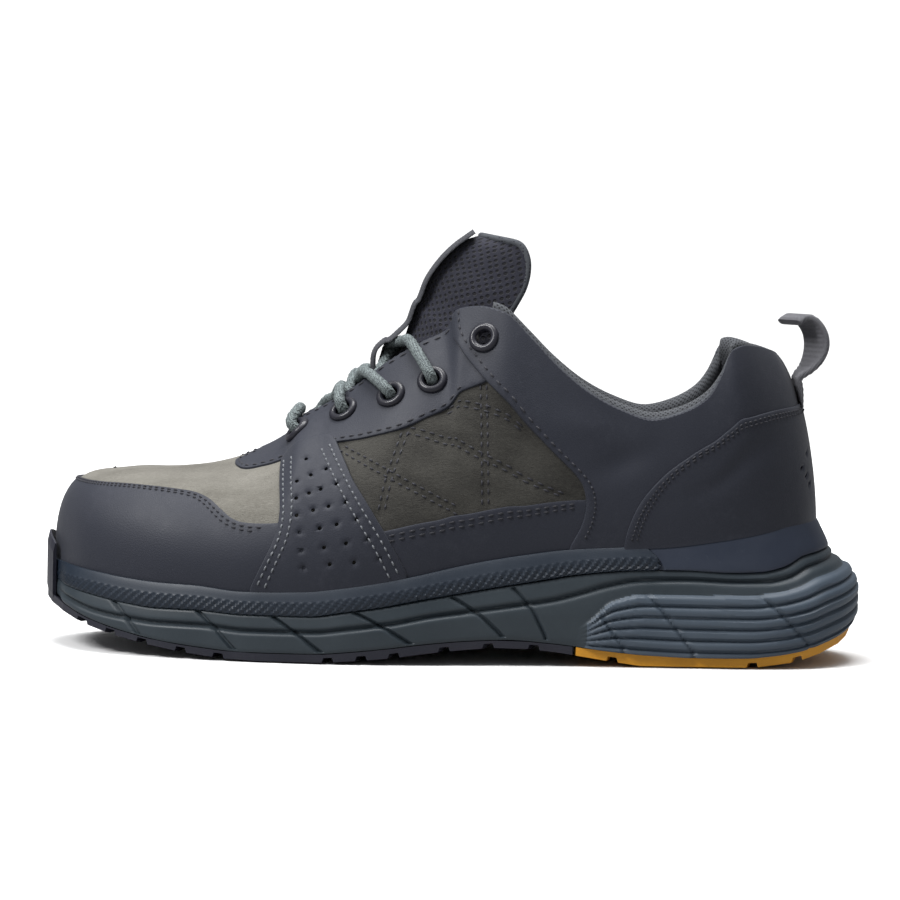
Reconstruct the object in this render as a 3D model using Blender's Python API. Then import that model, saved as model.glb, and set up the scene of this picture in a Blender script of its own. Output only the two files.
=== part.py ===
# Safety sneaker, left shoe, outer side toward -Y, toe toward -X, standing on z = 0.
# Every length is in metres.

import math

import bmesh
import bpy
import numpy as np
from mathutils import Vector
from mathutils.geometry import delaunay_2d_cdt

# Sole: overall length and width, and the height of its side at the heel.
SOLE_LENGTH = 0.306
SOLE_WIDTH = 0.110
SOLE_SIDE = 0.050

# How far the foot of the upper stands inside the sole's outline.
TOE_INSET = 0.0030
HEEL_INSET = 0.0165
SIDE_INSET = 0.0035

# Upper: height of its highest corner, its wall and the step of its overlays.
UPPER_HEIGHT = 0.1312
WALL = 0.0014
OVERLAY = 0.0008
OVERLAY_EDGE = 0.0005
SKIRT = 0.12

# Clearance between pieces that touch.
GAP = 0.0003

# Midsole: relief of its side, recess for the foot bed and highest seat under the heel.
GROOVE_DEPTH = 0.0011
GROOVE_HALF = 0.0014
RIM_ROUND = 0.0006
RIB_DEPTH = 0.0009
PAD_RAISE = 0.0013
RECESS = 0.0012
SEAT_HEIGHT = 0.0345

# Tread: depth and width of the channels between the lugs, and the toe bumper.
CHANNEL_DEPTH = 0.0017
CHANNEL_WIDTH = 0.0032
CHANNEL_SLOPE = 0.0006
CHEVRON = 0.006
BUMPER_HEIGHT = 0.042
BUMPER_THICKNESS = 0.0014
BUMPER_SPREAD = 0.22
BUMPER_DIP = 0.004
TREAD_EDGE = 0.0006
RAND_PROUD = 0.0008

# Foot bed.
INSOLE_THICKNESS = 0.0040
INSOLE_ROUND = 0.0010
SEAT_INSET = 0.0042

# Eyelets and lace.
EYELET_OUTER = 0.0115
EYELET_BORE = 0.0058
EYELET_BARREL = 0.0072
EYELET_HOLE = 0.0088
EYELET_RISE = 0.0015
LACE_DIAMETER = 0.0042

# Tongue, collar lining and webbing.
TONGUE_STAND = 0.0240
TONGUE_WIDTH = 0.056
TONGUE_PAD = 0.008
LINING_PAD = 0.0085
LINING_STAND = 0.0028
LINING_DEPTH = 0.026
STRIP_WIDTH = 0.014
STRIP_SAG = 0.0009
STRIP_THICKNESS = 0.0012
LOOP_WIDTH = 0.016
LOOP_THICKNESS = 0.0028


class Table:
    # A short table with named columns, read with smooth curves between its rows.
    # The first column is a share from toe to heel. Round tables are read over the
    # angle of a half circle, so that outlines close round at toe and heel.
    def __init__(self, names, rows, is_round=True):
        values = np.array(rows, float)
        self.is_round = is_round
        self.shares = values[:, 0]
        self.keys = self.spread(values[:, 0])
        self.columns = {name: values[:, i] for i, name in enumerate(names)}
        self.slopes = {name: self.slope(values[:, i]) for i, name in enumerate(names)}

    def spread(self, share):
        if self.is_round:
            return np.arccos(1 - 2 * np.clip(share, 0, 1))
        return share

    def slope(self, y):
        steps = np.diff(self.keys)
        rises = np.diff(y) / steps
        slopes = np.empty_like(y)
        slopes[0] = rises[0]
        slopes[-1] = rises[-1]
        for i in range(1, len(y) - 1):
            before, after = rises[i - 1], rises[i]
            if before * after <= 0:
                slopes[i] = 0
                continue
            w1 = 2 * steps[i] + steps[i - 1]
            w2 = steps[i] + 2 * steps[i - 1]
            slopes[i] = (w1 + w2) / (w1 / before + w2 / after)
        return slopes

    def read(self, name, key):
        key = np.clip(key, self.keys[0], self.keys[-1])
        i = np.clip(np.searchsorted(self.keys, key) - 1, 0, len(self.keys) - 2)
        step = self.keys[i + 1] - self.keys[i]
        t = (key - self.keys[i]) / step
        y, m = self.columns[name], self.slopes[name]
        start = y[i] * (1 + 2 * t) * (1 - t) ** 2 + m[i] * step * t * (1 - t) ** 2
        end = y[i + 1] * t * t * (3 - 2 * t) + m[i + 1] * step * t * t * (t - 1)
        return start + end


# Plan outline of the sole, in shares of its width.
SOLE_PLAN = Table(("length", "lateral", "medial"), (
    (0.000, 0.085, 0.085), (0.015, -0.081, 0.227), (0.05, -0.236, 0.364), (0.11, -0.350, 0.441),
    (0.19, -0.432, 0.482), (0.28, -0.482, 0.497), (0.37, -0.500, 0.482), (0.46, -0.482, 0.436),
    (0.56, -0.441, 0.386), (0.66, -0.405, 0.366), (0.76, -0.386, 0.377), (0.85, -0.375, 0.394),
    (0.92, -0.336, 0.368), (0.97, -0.227, 0.268), (0.992, -0.109, 0.159), (1.000, 0.018, 0.018)))

# Plan outline of the foot of the upper, in shares of the upper's width.
FOOT_PLAN = Table(("length", "lateral", "medial"), (
    (0.000, 0.091, 0.091), (0.015, -0.068, 0.233), (0.05, -0.223, 0.364), (0.11, -0.340, 0.437),
    (0.19, -0.422, 0.481), (0.28, -0.481, 0.500), (0.37, -0.500, 0.485), (0.46, -0.481, 0.437),
    (0.56, -0.437, 0.374), (0.66, -0.398, 0.350), (0.76, -0.374, 0.354), (0.85, -0.354, 0.364),
    (0.92, -0.311, 0.325), (0.97, -0.214, 0.233), (0.992, -0.107, 0.136), (1.000, 0.015, 0.015)))

# Heights of the sole's lines along its length, in shares of the height of its side: tread
# face, top of the tread, top of the heel pad, long groove, rim under the upper, foot of the
# upper. The last column is how far the rim has drawn in from the outline toward the upper.
SOLE_LEVELS = Table(("length", "ground", "tread", "pad", "groove", "rim", "foot", "draw"), (
    (0.00, 0.380, 0.450, 0.46, 0.485, 0.540, 0.650, 0.30),
    (0.03, 0.256, 0.324, 0.34, 0.385, 0.464, 0.620, 0.32),
    (0.07, 0.172, 0.232, 0.27, 0.312, 0.420, 0.592, 0.34),
    (0.11, 0.116, 0.172, 0.23, 0.278, 0.384, 0.564, 0.35),
    (0.15, 0.070, 0.126, 0.20, 0.258, 0.362, 0.546, 0.36),
    (0.20, 0.028, 0.092, 0.18, 0.256, 0.362, 0.538, 0.36),
    (0.26, 0.000, 0.068, 0.15, 0.228, 0.344, 0.508, 0.36),
    (0.34, 0.000, 0.070, 0.16, 0.232, 0.344, 0.520, 0.36),
    (0.38, 0.014, 0.088, 0.17, 0.260, 0.376, 0.546, 0.36),
    (0.43, 0.040, 0.120, 0.21, 0.300, 0.420, 0.590, 0.36),
    (0.48, 0.082, 0.158, 0.25, 0.360, 0.478, 0.648, 0.36),
    (0.53, 0.112, 0.182, 0.27, 0.402, 0.530, 0.716, 0.36),
    (0.57, 0.126, 0.190, 0.26, 0.436, 0.572, 0.764, 0.36),
    (0.63, 0.096, 0.164, 0.20, 0.490, 0.630, 0.820, 0.36),
    (0.66, 0.068, 0.142, 0.30, 0.535, 0.662, 0.844, 0.36),
    (0.70, 0.030, 0.112, 0.49, 0.600, 0.690, 0.864, 0.37),
    (0.74, 0.000, 0.090, 0.54, 0.640, 0.708, 0.876, 0.38),
    (0.80, 0.000, 0.076, 0.54, 0.650, 0.714, 0.896, 0.40),
    (0.86, 0.000, 0.078, 0.54, 0.638, 0.700, 0.946, 0.45),
    (0.90, 0.016, 0.098, 0.56, 0.640, 0.706, 0.986, 0.50),
    (0.93, 0.052, 0.130, 0.60, 0.670, 0.740, 1.020, 0.54),
    (0.96, 0.104, 0.186, 0.67, 0.745, 0.820, 1.060, 0.58),
    (1.00, 0.260, 0.340, 0.75, 0.810, 0.870, 1.090, 0.63)))

# Top edge of the upper over shares of its foot: ridge of the toe as far as the throat, then
# flap, corner, dip and heel of the collar. Shares of its length, height and width.
TOPLINE = Table(("foot", "length", "height", "lateral", "medial"), (
    (0.00, 0.078, 0.509, 0.068, 0.068), (0.05, 0.092, 0.512, 0.068, 0.068),
    (0.10, 0.117, 0.517, 0.063, 0.063), (0.15, 0.152, 0.520, 0.058, 0.058),
    (0.20, 0.197, 0.530, 0.049, 0.049), (0.25, 0.246, 0.556, 0.039, 0.039),
    (0.30, 0.300, 0.610, 0.029, 0.029), (0.325, 0.326, 0.671, -0.058, 0.107),
    (0.36, 0.359, 0.714, -0.083, 0.126), (0.40, 0.396, 0.767, -0.107, 0.146),
    (0.44, 0.437, 0.838, -0.126, 0.160), (0.48, 0.483, 0.899, -0.146, 0.175),
    (0.505, 0.511, 0.930, -0.155, 0.184), (0.53, 0.528, 0.989, -0.175, 0.204),
    (0.56, 0.557, 0.999, -0.218, 0.243), (0.59, 0.587, 0.985, -0.267, 0.282),
    (0.62, 0.622, 0.915, -0.296, 0.301), (0.66, 0.660, 0.831, -0.320, 0.320),
    (0.70, 0.699, 0.764, -0.335, 0.335), (0.74, 0.739, 0.719, -0.340, 0.345),
    (0.78, 0.779, 0.693, -0.350, 0.350), (0.82, 0.817, 0.714, -0.350, 0.350),
    (0.86, 0.852, 0.761, -0.340, 0.340), (0.89, 0.870, 0.831, -0.325, 0.325),
    (0.915, 0.881, 0.892, -0.311, 0.311), (0.94, 0.897, 0.905, -0.272, 0.277),
    (0.97, 0.920, 0.898, -0.184, 0.194), (0.99, 0.937, 0.886, -0.097, 0.107),
    (1.00, 0.946, 0.875, 0.005, 0.005)))
THROAT_START = 0.30
THROAT_MIDDLE = 0.0015

# Section of the upper over shares of its foot: outward lean and fullness of the wall at its
# foot, downward angle in degrees and fullness at its top.
SECTIONS = Table(("foot", "lean", "low", "angle", "high"), (
    (0.00, 0.03, 0.55, 0.0, 0.42), (0.10, 0.05, 0.50, 0.0, 0.45), (0.20, 0.08, 0.45, 3.0, 0.45),
    (0.30, 0.10, 0.42, 12.0, 0.42), (0.36, 0.10, 0.40, 30.0, 0.36), (0.44, 0.10, 0.38, 42.0, 0.33),
    (0.50, 0.08, 0.36, 50.0, 0.33), (0.56, 0.06, 0.33, 62.0, 0.33), (0.62, 0.06, 0.33, 74.0, 0.33),
    (0.70, 0.08, 0.33, 80.0, 0.33), (0.78, 0.10, 0.33, 83.0, 0.33), (0.86, 0.10, 0.33, 80.0, 0.33),
    (0.92, 0.05, 0.33, 68.0, 0.28), (1.00, -0.05, 0.33, 47.0, 0.22)))


def around(share):
    # Angle of a share of a length, zero at the toe and pi at the heel.
    return float(np.arccos(1 - 2 * share))


def smooth_step(value, low, high):
    t = np.clip((value - low) / (high - low), 0, 1)
    return t * t * (3 - 2 * t)


def side_name(side):
    return "lateral" if side < 0 else "medial"


def sole_outline(angle, side):
    x = -SOLE_LENGTH / 2 * np.cos(angle)
    y = SOLE_PLAN.read(side_name(side), angle) * SOLE_WIDTH
    return np.stack([x, y], -1)


def foot_outline(angle, side):
    length = SOLE_LENGTH - TOE_INSET - HEEL_INSET
    x = TOE_INSET - SOLE_LENGTH / 2 + length * (1 - np.cos(angle)) / 2
    y = FOOT_PLAN.read(side_name(side), angle) * (SOLE_WIDTH - 2 * SIDE_INSET)
    return np.stack([x, y], -1)


def foot_normal(angle, side):
    step = 1e-3
    ahead = foot_outline(np.clip(angle + step, 0, math.pi), side)
    behind = foot_outline(np.clip(angle - step, 0, math.pi), side)
    run = ahead - behind
    run /= np.linalg.norm(run, axis=-1, keepdims=True)
    normal = np.stack([run[..., 1], -run[..., 0]], -1) * -side
    ends = (np.minimum(angle, math.pi - angle) < step)[..., None]
    flat = np.stack([-np.sign(np.cos(angle)), np.zeros_like(angle)], -1)
    return np.where(ends, flat, normal)


def level(name, angle):
    return SOLE_LEVELS.read(name, angle) * SOLE_SIDE


def top_edge(angle, side):
    length = SOLE_LENGTH - TOE_INSET - HEEL_INSET
    x = TOE_INSET - SOLE_LENGTH / 2 + length * TOPLINE.read("length", angle)
    y = TOPLINE.read(side_name(side), angle) * (SOLE_WIDTH - 2 * SIDE_INSET)
    z = TOPLINE.read("height", angle) * UPPER_HEIGHT
    return np.stack([x, y, z], -1)


def upper_surface(angle, up, side):
    # A point of the upper's outer face, from its foot (up 0) to its top edge (up 1).
    # Below the foot line the wall goes straight down behind the rand to the midsole.
    plan = foot_outline(angle, side)
    foot = np.concatenate([plan, level("foot", angle)[..., None]], -1)
    top = top_edge(angle, side)
    normal = foot_normal(angle, side)
    inward = plan - top[..., :2]
    inward /= np.linalg.norm(inward, axis=-1, keepdims=True)
    blend = smooth_step(angle, around(0.30), around(0.45))[..., None]
    facing = inward * (1 - blend) + normal * blend
    facing /= np.linalg.norm(facing, axis=-1, keepdims=True)
    chord = np.linalg.norm(top - foot, axis=-1)
    low = (SECTIONS.read("low", angle) * chord)[..., None]
    high = (SECTIONS.read("high", angle) * chord)[..., None]
    lean = SECTIONS.read("lean", angle)[..., None]
    slope = np.radians(SECTIONS.read("angle", angle))[..., None]
    rise = np.concatenate([normal * lean, np.ones_like(lean)], -1)
    fall = np.concatenate([facing * np.cos(slope), -np.sin(slope)], -1)
    t = np.clip(up, 0, 1)[..., None]
    point = (foot * (1 - t) ** 3 + 3 * (foot + rise * low) * t * (1 - t) ** 2
             + 3 * (top + fall * high) * t * t * (1 - t) + top * t ** 3)
    drop = np.clip(-up / SKIRT, 0, 1) * (level("foot", angle) - level("rim", angle) - 3 * GAP)
    point[..., 2] -= drop
    return point


def upper_normal(angle, up, side):
    step = 2e-3
    along = (upper_surface(np.clip(angle + step, 0, math.pi), up, side)
             - upper_surface(np.clip(angle - step, 0, math.pi), up, side))
    high = upper_surface(angle, np.clip(up + step, -SKIRT, 1), side)
    low = upper_surface(angle, np.clip(up - step, -SKIRT, 1), side)
    normal = np.cross(along, high - low) * -side
    return normal / np.linalg.norm(normal, axis=-1, keepdims=True)


# Overlays of the upper: layers of material, then the outline over shares of the way round
# from toe to heel and of the way up the wall. They run past the wall's own edges.
OVERLAYS = {
    "toe_guard": (1, ((-0.05, -0.3), (-0.05, 0.68), (0.07, 0.665), (0.17, 0.62), (0.26, 0.59),
                      (0.289, 0.56), (0.306, 0.50), (0.319, 0.41), (0.330, 0.355), (0.345, 0.32),
                      (0.40, 0.30), (0.40, -0.3))),
    "lower_guard": (1, ((0.44, -0.3), (0.44, 0.195), (0.525, 0.19), (0.575, 0.22), (0.64, 0.33),
                        (0.64, -0.3))),
    "eyestay": (1, ((0.33, 1.1), (0.328, 0.82), (0.337, 0.765), (0.367, 0.73), (0.418, 0.705),
                    (0.443, 0.65), (0.476, 0.61), (0.50, 0.635), (0.535, 0.69), (0.56, 0.80),
                    (0.56, 1.1))),
    "strap": (2, ((0.345, -0.3), (0.347, 0.01), (0.362, 0.15), (0.371, 0.27), (0.373, 0.38),
                  (0.371, 0.54), (0.371, 0.70), (0.377, 0.75), (0.40, 0.765), (0.416, 0.745),
                  (0.429, 0.54), (0.441, 0.38), (0.463, 0.175), (0.482, 0.0), (0.484, -0.3))),
    "collar_panel": (2, ((0.512, 1.1), (0.512, 0.90), (0.527, 0.77), (0.556, 0.64), (0.584, 0.56),
                         (0.618, 0.46), (0.628, 0.32), (0.625, 0.14), (0.614, 0.0), (0.612, -0.3),
                         (1.05, -0.3), (1.05, 1.1))),
    "counter": (3, ((1.05, 0.615), (0.95, 0.61), (0.874, 0.595), (0.823, 0.60), (0.775, 0.645),
                    (0.74, 0.66), (0.705, 0.575), (0.684, 0.41), (0.672, 0.24), (0.664, 0.0),
                    (0.663, -0.3), (1.05, -0.3))),
}

# Centres of the eyelets, from the toe up, and how far round the wall's grid lines stand.
EYELETS = ((0.382, 0.90), (0.425, 0.875), (0.463, 0.80), (0.492, 0.785), (0.540, 0.865))
LACED_EYELETS = 4
EYELET_SIDES = 8
LACE_EDGES = (0.386, 0.425, 0.447, 0.480)
LACE_CLEARANCE = 0.0009
WALL_COLUMNS = 28
WALL_ROWS = (0.0, 0.08, 0.17, 0.27, 0.38, 0.50, 0.62, 0.74, 0.86, 1.0)
INNER_ROWS = (0.93,)
INNER_COLUMNS = 22
THROAT_COLUMNS = (0.369, 0.378, 0.387, 0.398)
HOLE_RING = 1.75
HOLE_SIDES = 10

# Tongue along its middle line: place of its face in shares of the sole's length, of the
# upper's height and of the tongue's stand above it, then half width, how far its edges drop
# back, lean of the section and padding.
TONGUE = Table(("way", "x", "up", "stand", "half", "drop", "lean", "pad"), (
    (0.00, -0.248, 0.546, 0.00, 0.70, 0.25, 0, 0.28), (0.08, -0.216, 0.570, 0.00, 0.82, 0.34, 0, 0.32),
    (0.16, -0.19, 0.614, 0.00, 0.90, 0.46, 0, 0.45), (0.25, -0.157, 0.679, 0.00, 0.94, 0.60, 0, 0.55),
    (0.34, -0.124, 0.754, 0.00, 0.94, 0.72, 5, 0.65), (0.42, -0.098, 0.807, 0.00, 0.92, 0.80, 12, 0.75),
    (0.49, -0.08, 0.841, 0.00, 0.88, 0.90, 22, 0.85), (0.55, -0.066, 0.872, 0.00, 0.82, 0.98, 32, 0.92),
    (0.61, -0.0575, 0.933, 0.00, 0.76, 1.04, 42, 1.00), (0.70, -0.0465, 1.000, 0.02, 0.69, 1.10, 50, 0.95),
    (0.79, -0.0345, 1.000, 0.35, 0.61, 1.14, 58, 0.90), (0.88, -0.013, 1.000, 0.70, 0.60, 1.10, 66, 0.90),
    (0.95, 0.008, 1.000, 0.91, 0.58, 0.90, 74, 0.75), (1.00, 0.023, 1.000, 1.00, 0.52, 0.62, 80, 0.45)),
    is_round=False)

# Webbing strip on the tongue: way along the tongue and how far it stands off, in shares of
# the tongue's padding. It bows out over the lace as a keeper and ends free at the top.
STRIP = Table(("way", "off"), (
    (0.415, 0.08), (0.430, 0.42), (0.450, 0.66), (0.480, 0.80), (0.515, 0.83), (0.550, 0.74),
    (0.580, 0.52), (0.605, 0.28), (0.64, 0.06), (0.70, 0.00), (0.80, 0.00), (0.90, 0.00), (1.00, 0.02)),
    is_round=False)

# Padding of the collar's lining over shares of the upper's foot, in shares of its thickness.
LINING = Table(("foot", "pad"), (
    (0.572, 0.40), (0.595, 0.50), (0.62, 0.62), (0.66, 0.80), (0.70, 0.95), (0.74, 1.00), (0.78, 1.00),
    (0.82, 0.95), (0.855, 0.76), (0.885, 0.58), (0.91, 0.48), (0.935, 0.48), (0.96, 0.58),
    (0.985, 0.75), (1.00, 0.78)))

# Pull loop: the shares of the way up the heel where its doubled band lies on the wall, then
# its free rows up and over, in shares of the sole's length and of the upper's height, with
# their turn toward the front.
LOOP_SEAT = (0.70, 0.77)
PULL_LOOP = (
    (0.4335, 0.830, 0.4), (0.4430, 0.862, 0.8), (0.4475, 0.900, 1.0), (0.4455, 0.938, 1.0),
    (0.4370, 0.973, 1.0), (0.4270, 0.989, 1.0))
LOOP_TURN = 27.0

# Channels across the tread, and the bands of the channels along it.
FRONT_CHANNELS = (0.055, 0.092, 0.132, 0.180, 0.226, 0.358, 0.398, 0.437, 0.497, 0.550, 0.605)
HEEL_CHANNELS = (0.700, 0.870, 0.925)
LONG_CHANNELS = (0.36, 0.64)
PLAIN_LINES = (0.010, 0.028, 0.270, 0.315, 0.467, 0.525, 0.635, 0.68, 0.735, 0.79, 0.835, 0.955,
               0.980, 0.992)
FRONT_TREAD = (0.0026, 0.652)
HEEL_TREAD = (0.656, 0.9985)

# Midsole columns from toe to heel, and the slanted grooves of its side with their slant.
SLANTED_GROOVES = (0.093, 0.200, 0.292, 0.392, 0.510, 0.585)
PLAIN_COLUMNS = (0.0, 0.012, 0.040, 0.145, 0.247, 0.342, 0.450, 0.550, 0.625, 0.655, 0.680, 0.710,
                 0.755, 0.805, 0.855, 0.895, 0.928, 0.957, 0.979, 0.994, 1.0)
SLANT = Table(("length", "run"), (
    (0.00, 0.000), (0.09, 0.034), (0.20, 0.046), (0.29, 0.058), (0.39, 0.066), (0.50, 0.060),
    (0.60, 0.030), (0.68, 0.000), (1.00, 0.000)))
PAD_RIBS = 2
RAND_END = 0.772


def material(name, colour, roughness, metallic=0.0):
    made = bpy.data.materials.new(name)
    made.use_nodes = True
    shader = made.node_tree.nodes["Principled BSDF"]
    shader.inputs["Base Color"].default_value = (*colour, 1.0)
    shader.inputs["Roughness"].default_value = roughness
    shader.inputs["Metallic"].default_value = metallic
    made.diffuse_color = (*colour, 1.0)
    return made


def add_object(name, points, faces, surface, smooth_angle=40.0):
    mesh = bpy.data.meshes.new(name)
    mesh.from_pydata([tuple(map(float, p)) for p in points], [], faces)
    shape = bmesh.new()
    shape.from_mesh(mesh)
    bmesh.ops.remove_doubles(shape, verts=shape.verts, dist=1e-6)
    bmesh.ops.recalc_face_normals(shape, faces=shape.faces)
    shape.to_mesh(mesh)
    shape.free()
    mesh.shade_smooth()
    mesh.set_sharp_from_angle(angle=math.radians(smooth_angle))
    made = bpy.data.objects.new(name, mesh)
    bpy.context.collection.objects.link(made)
    if surface:
        mesh.materials.append(surface)
    return made


def join_body(body, extra):
    # Unites a second solid with the body and keeps it as a hidden guide.
    extra.hide_render = True
    extra.display_type = "WIRE"
    union = body.modifiers.new("join_" + extra.name, "BOOLEAN")
    union.operation = "UNION"
    union.solver = "EXACT"
    union.object = extra


def loft(name, rings, surface, is_loop=False, smooth_angle=40.0):
    # Joins closed rings of points into a tube, with its ends closed or run together.
    rings = np.asarray(rings)
    count, size = rings.shape[:2]
    points = list(rings.reshape(-1, 3))
    faces = []
    for i in range(count if is_loop else count - 1):
        j = (i + 1) % count
        for k in range(size):
            m = (k + 1) % size
            faces.append((i * size + k, i * size + m, j * size + m, j * size + k))
    if not is_loop:
        for base in (0, (count - 1) * size):
            for k in range((size - 1) // 2):
                across = [k, k + 1, size - 2 - k, size - 1 - k]
                faces.append(tuple(dict.fromkeys(base + i for i in across)))
    return add_object(name, points, faces, surface, smooth_angle)


def strip_solid(name, rows, surface, smooth_angle=40.0):
    # Closes stacked outlines that run from the toe along the outer side to the heel and
    # back along the inner side. The first and last outline are bridged straight across.
    rows = np.asarray(rows)
    count, size = rows.shape[:2]
    faces = []
    for i in range(count - 1):
        for k in range(size):
            m = (k + 1) % size
            faces.append((i * size + k, i * size + m, (i + 1) * size + m, (i + 1) * size + k))
    for base in (0, (count - 1) * size):
        for k in range(size // 2):
            loop = [base + k, base + k + 1, base + (size - k - 1) % size, base + (size - k) % size]
            faces.append(tuple(dict.fromkeys(loop)))
    return add_object(name, rows.reshape(-1, 3), faces, surface, smooth_angle)


def ring_round(point_at, angles):
    # Calls point_at along the outer side to the heel and back along the inner side.
    ring = [point_at(a, -1) for a in angles]
    ring += [point_at(a, 1) for a in angles[-2:0:-1]]
    return ring


def toe_window(angle):
    return 1 - float(smooth_step(angle, BUMPER_SPREAD * 1.12, BUMPER_SPREAD * 1.6))


def between(angle, side, share, out=0.0):
    # A plan point between the upper's foot (share 0) and the sole's outline (share 1),
    # with room for the bumper at the toe, moved outward by out.
    angle = np.array([angle])
    foot = foot_outline(angle, side)[0]
    sole = sole_outline(angle, side)[0]
    room = 1 - toe_window(angle[0]) * (BUMPER_THICKNESS + GAP) / TOE_INSET
    return foot + (sole - foot) * share * room + foot_normal(angle, side)[0] * out


def height(name, angle):
    return float(level(name, np.array([angle]))[0])


def midsole():
    shares = [(s, 0.0) for s in PLAIN_COLUMNS]
    for s in SLANTED_GROOVES:
        shares += [(s - 0.006, 0.0), (s, 1.0), (s + 0.006, 0.0)]
    shares.sort()
    rows = []
    for row in range(2 * PAD_RIBS + 7):
        rows.append(ring_round(lambda column, side: midsole_point(column, side, row), shares))
    angles = [around(s) for s, depth in shares]
    for inset, drop in ((SEAT_INSET - GAP, 0.0), (SEAT_INSET, RECESS)):
        rows.append(ring_round(lambda a, side: midsole_seat(a, side, inset, drop), angles))
    return strip_solid("midsole", rows, material("midsole_foam", (0.10, 0.125, 0.14), 0.6))


def midsole_rows(angle):
    # Heights and relief of the side from the tread up: ribbed pad, plain band, long groove.
    low = height("tread", angle) + GAP
    pad, groove, rim = (height(name, angle) for name in ("pad", "groove", "rim"))
    heel = float(smooth_step(angle, around(0.655), around(0.70)))
    rows = [(low, 0.0)]
    for i in range(2 * PAD_RIBS + 1):
        share = 0.06 + 0.90 * i / (2 * PAD_RIBS)
        relief = PAD_RAISE - (RIB_DEPTH if i % 2 else 0.0)
        rows.append((low + (pad - low) * share, relief * heel))
    rows.append((pad + 0.15 * (groove - pad), 0.0))
    half = min(GROOVE_HALF, 0.35 * (groove - pad), 0.35 * (rim - groove))
    rows += [(groove - half, 0.0), (groove, -GROOVE_DEPTH), (groove + half, 0.0)]
    rows.append((rim, -RIM_ROUND))
    return rows


def midsole_point(column, side, row):
    share, slanted = column
    angle = around(share)
    rows = midsole_rows(angle)
    low, rim = rows[0][0], rows[-1][0]
    up = (rows[row][0] - low) / (rim - low)
    lean = float(SLANT.read("run", np.array([angle]))[0]) * (1 - up)
    angle = around(min(share + lean, 1.0))
    z, relief = midsole_rows(angle)[row]
    if slanted and 0.06 < up < 0.95:
        relief -= GROOVE_DEPTH * (1 - float(smooth_step(share, 0.56, 0.62)))
    draw = float(SOLE_LEVELS.read("draw", np.array([angle]))[0])
    out = 1 - draw * max(0.0, (up - 0.45) / 0.55) ** 1.5 - 0.10 * max(0.0, 1 - up / 0.12) ** 2
    x, y = between(angle, side, out, relief * (1 - toe_window(angle)))
    return (x, y, z)


def midsole_seat(angle, side, inset, drop):
    x, y = between(angle, side, 0.0, -inset)
    z = height("rim", angle)
    if drop:
        z = min(z - drop, SEAT_HEIGHT)
    return (x, y, z)


def insole():
    angles = [around(s) for s in (0, 0.01, 0.035, 0.08, 0.14, 0.21, 0.29, 0.38, 0.47, 0.56, 0.65, 0.74,
                                  0.82, 0.88, 0.93, 0.965, 0.99, 1)]
    inset = SEAT_INSET + 2 * GAP
    rows = []
    for extra, up in ((INSOLE_ROUND, 0.0), (0.0, INSOLE_ROUND),
                      (0.0, INSOLE_THICKNESS - INSOLE_ROUND), (INSOLE_ROUND, INSOLE_THICKNESS)):
        rows.append(ring_round(lambda a, side: insole_point(a, side, inset + extra, up), angles))
    return strip_solid("insole", rows, material("insole_cloth", (0.05, 0.055, 0.07), 0.95))


def insole_point(angle, side, inset, up):
    x, y = between(angle, side, 0.0, -inset)
    z = min(height("rim", angle) - RECESS, SEAT_HEIGHT) + 2 * GAP + up
    return (x, y, z)


def rand():
    end = around(RAND_END)
    angles = list(np.linspace(0, 0.5, 5)) + list(np.linspace(0.62, end, 14))
    section = ((0.36, 0.0), (0.50, 0.22), (0.42, 0.58), (0.15, 0.88), (0.0, 0.97))
    rings = [rand_ring(a, -1, section) for a in reversed(angles)]
    rings += [rand_ring(a, 1, section) for a in angles[1:]]
    return loft("rand", rings, material("rand_rubber", (0.055, 0.075, 0.11), 0.45))


def rand_ring(angle, side, section):
    low, high = height("rim", angle) + GAP, height("foot", angle)
    near_toe = 1 - 0.75 * toe_window(angle)
    ring = []
    for share, up in section:
        plan = between(angle, side, share * near_toe, GAP + RAND_PROUD)
        ring.append((*plan, low + (high - low) * up))
    for up in (0.97, 0.0):
        ring.append((*between(angle, side, 0.0, 2 * GAP - OVERLAY), low + (high - low) * up))
    return ring


def heel_cradle():
    start = around(RAND_END + 0.006)
    angles = np.linspace(start, math.pi, 13)
    section = ((0.96, 0.0), (0.90, 0.14), (0.62, 0.45), (0.26, 0.80), (0.05, 0.95))
    rings = [cradle_ring(a, -1, section) for a in angles]
    rings += [cradle_ring(a, 1, section) for a in angles[-2::-1]]
    return loft("heel_cradle", rings, material("cradle_rubber", (0.06, 0.075, 0.10), 0.45))


def cradle_ring(angle, side, section):
    low, high = height("rim", angle) + GAP, height("foot", angle)
    reach = 1 - float(SOLE_LEVELS.read("draw", np.array([angle]))[0])
    ring = []
    for share, up in section:
        ring.append((*between(angle, side, share * reach, GAP + RAND_PROUD * (1 - share)),
                     low + (high - low) * up))
    for up in (0.97, 0.0):
        ring.append((*between(angle, side, 0.0, 2 * GAP - OVERLAY), low + (high - low) * up))
    return ring


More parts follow.
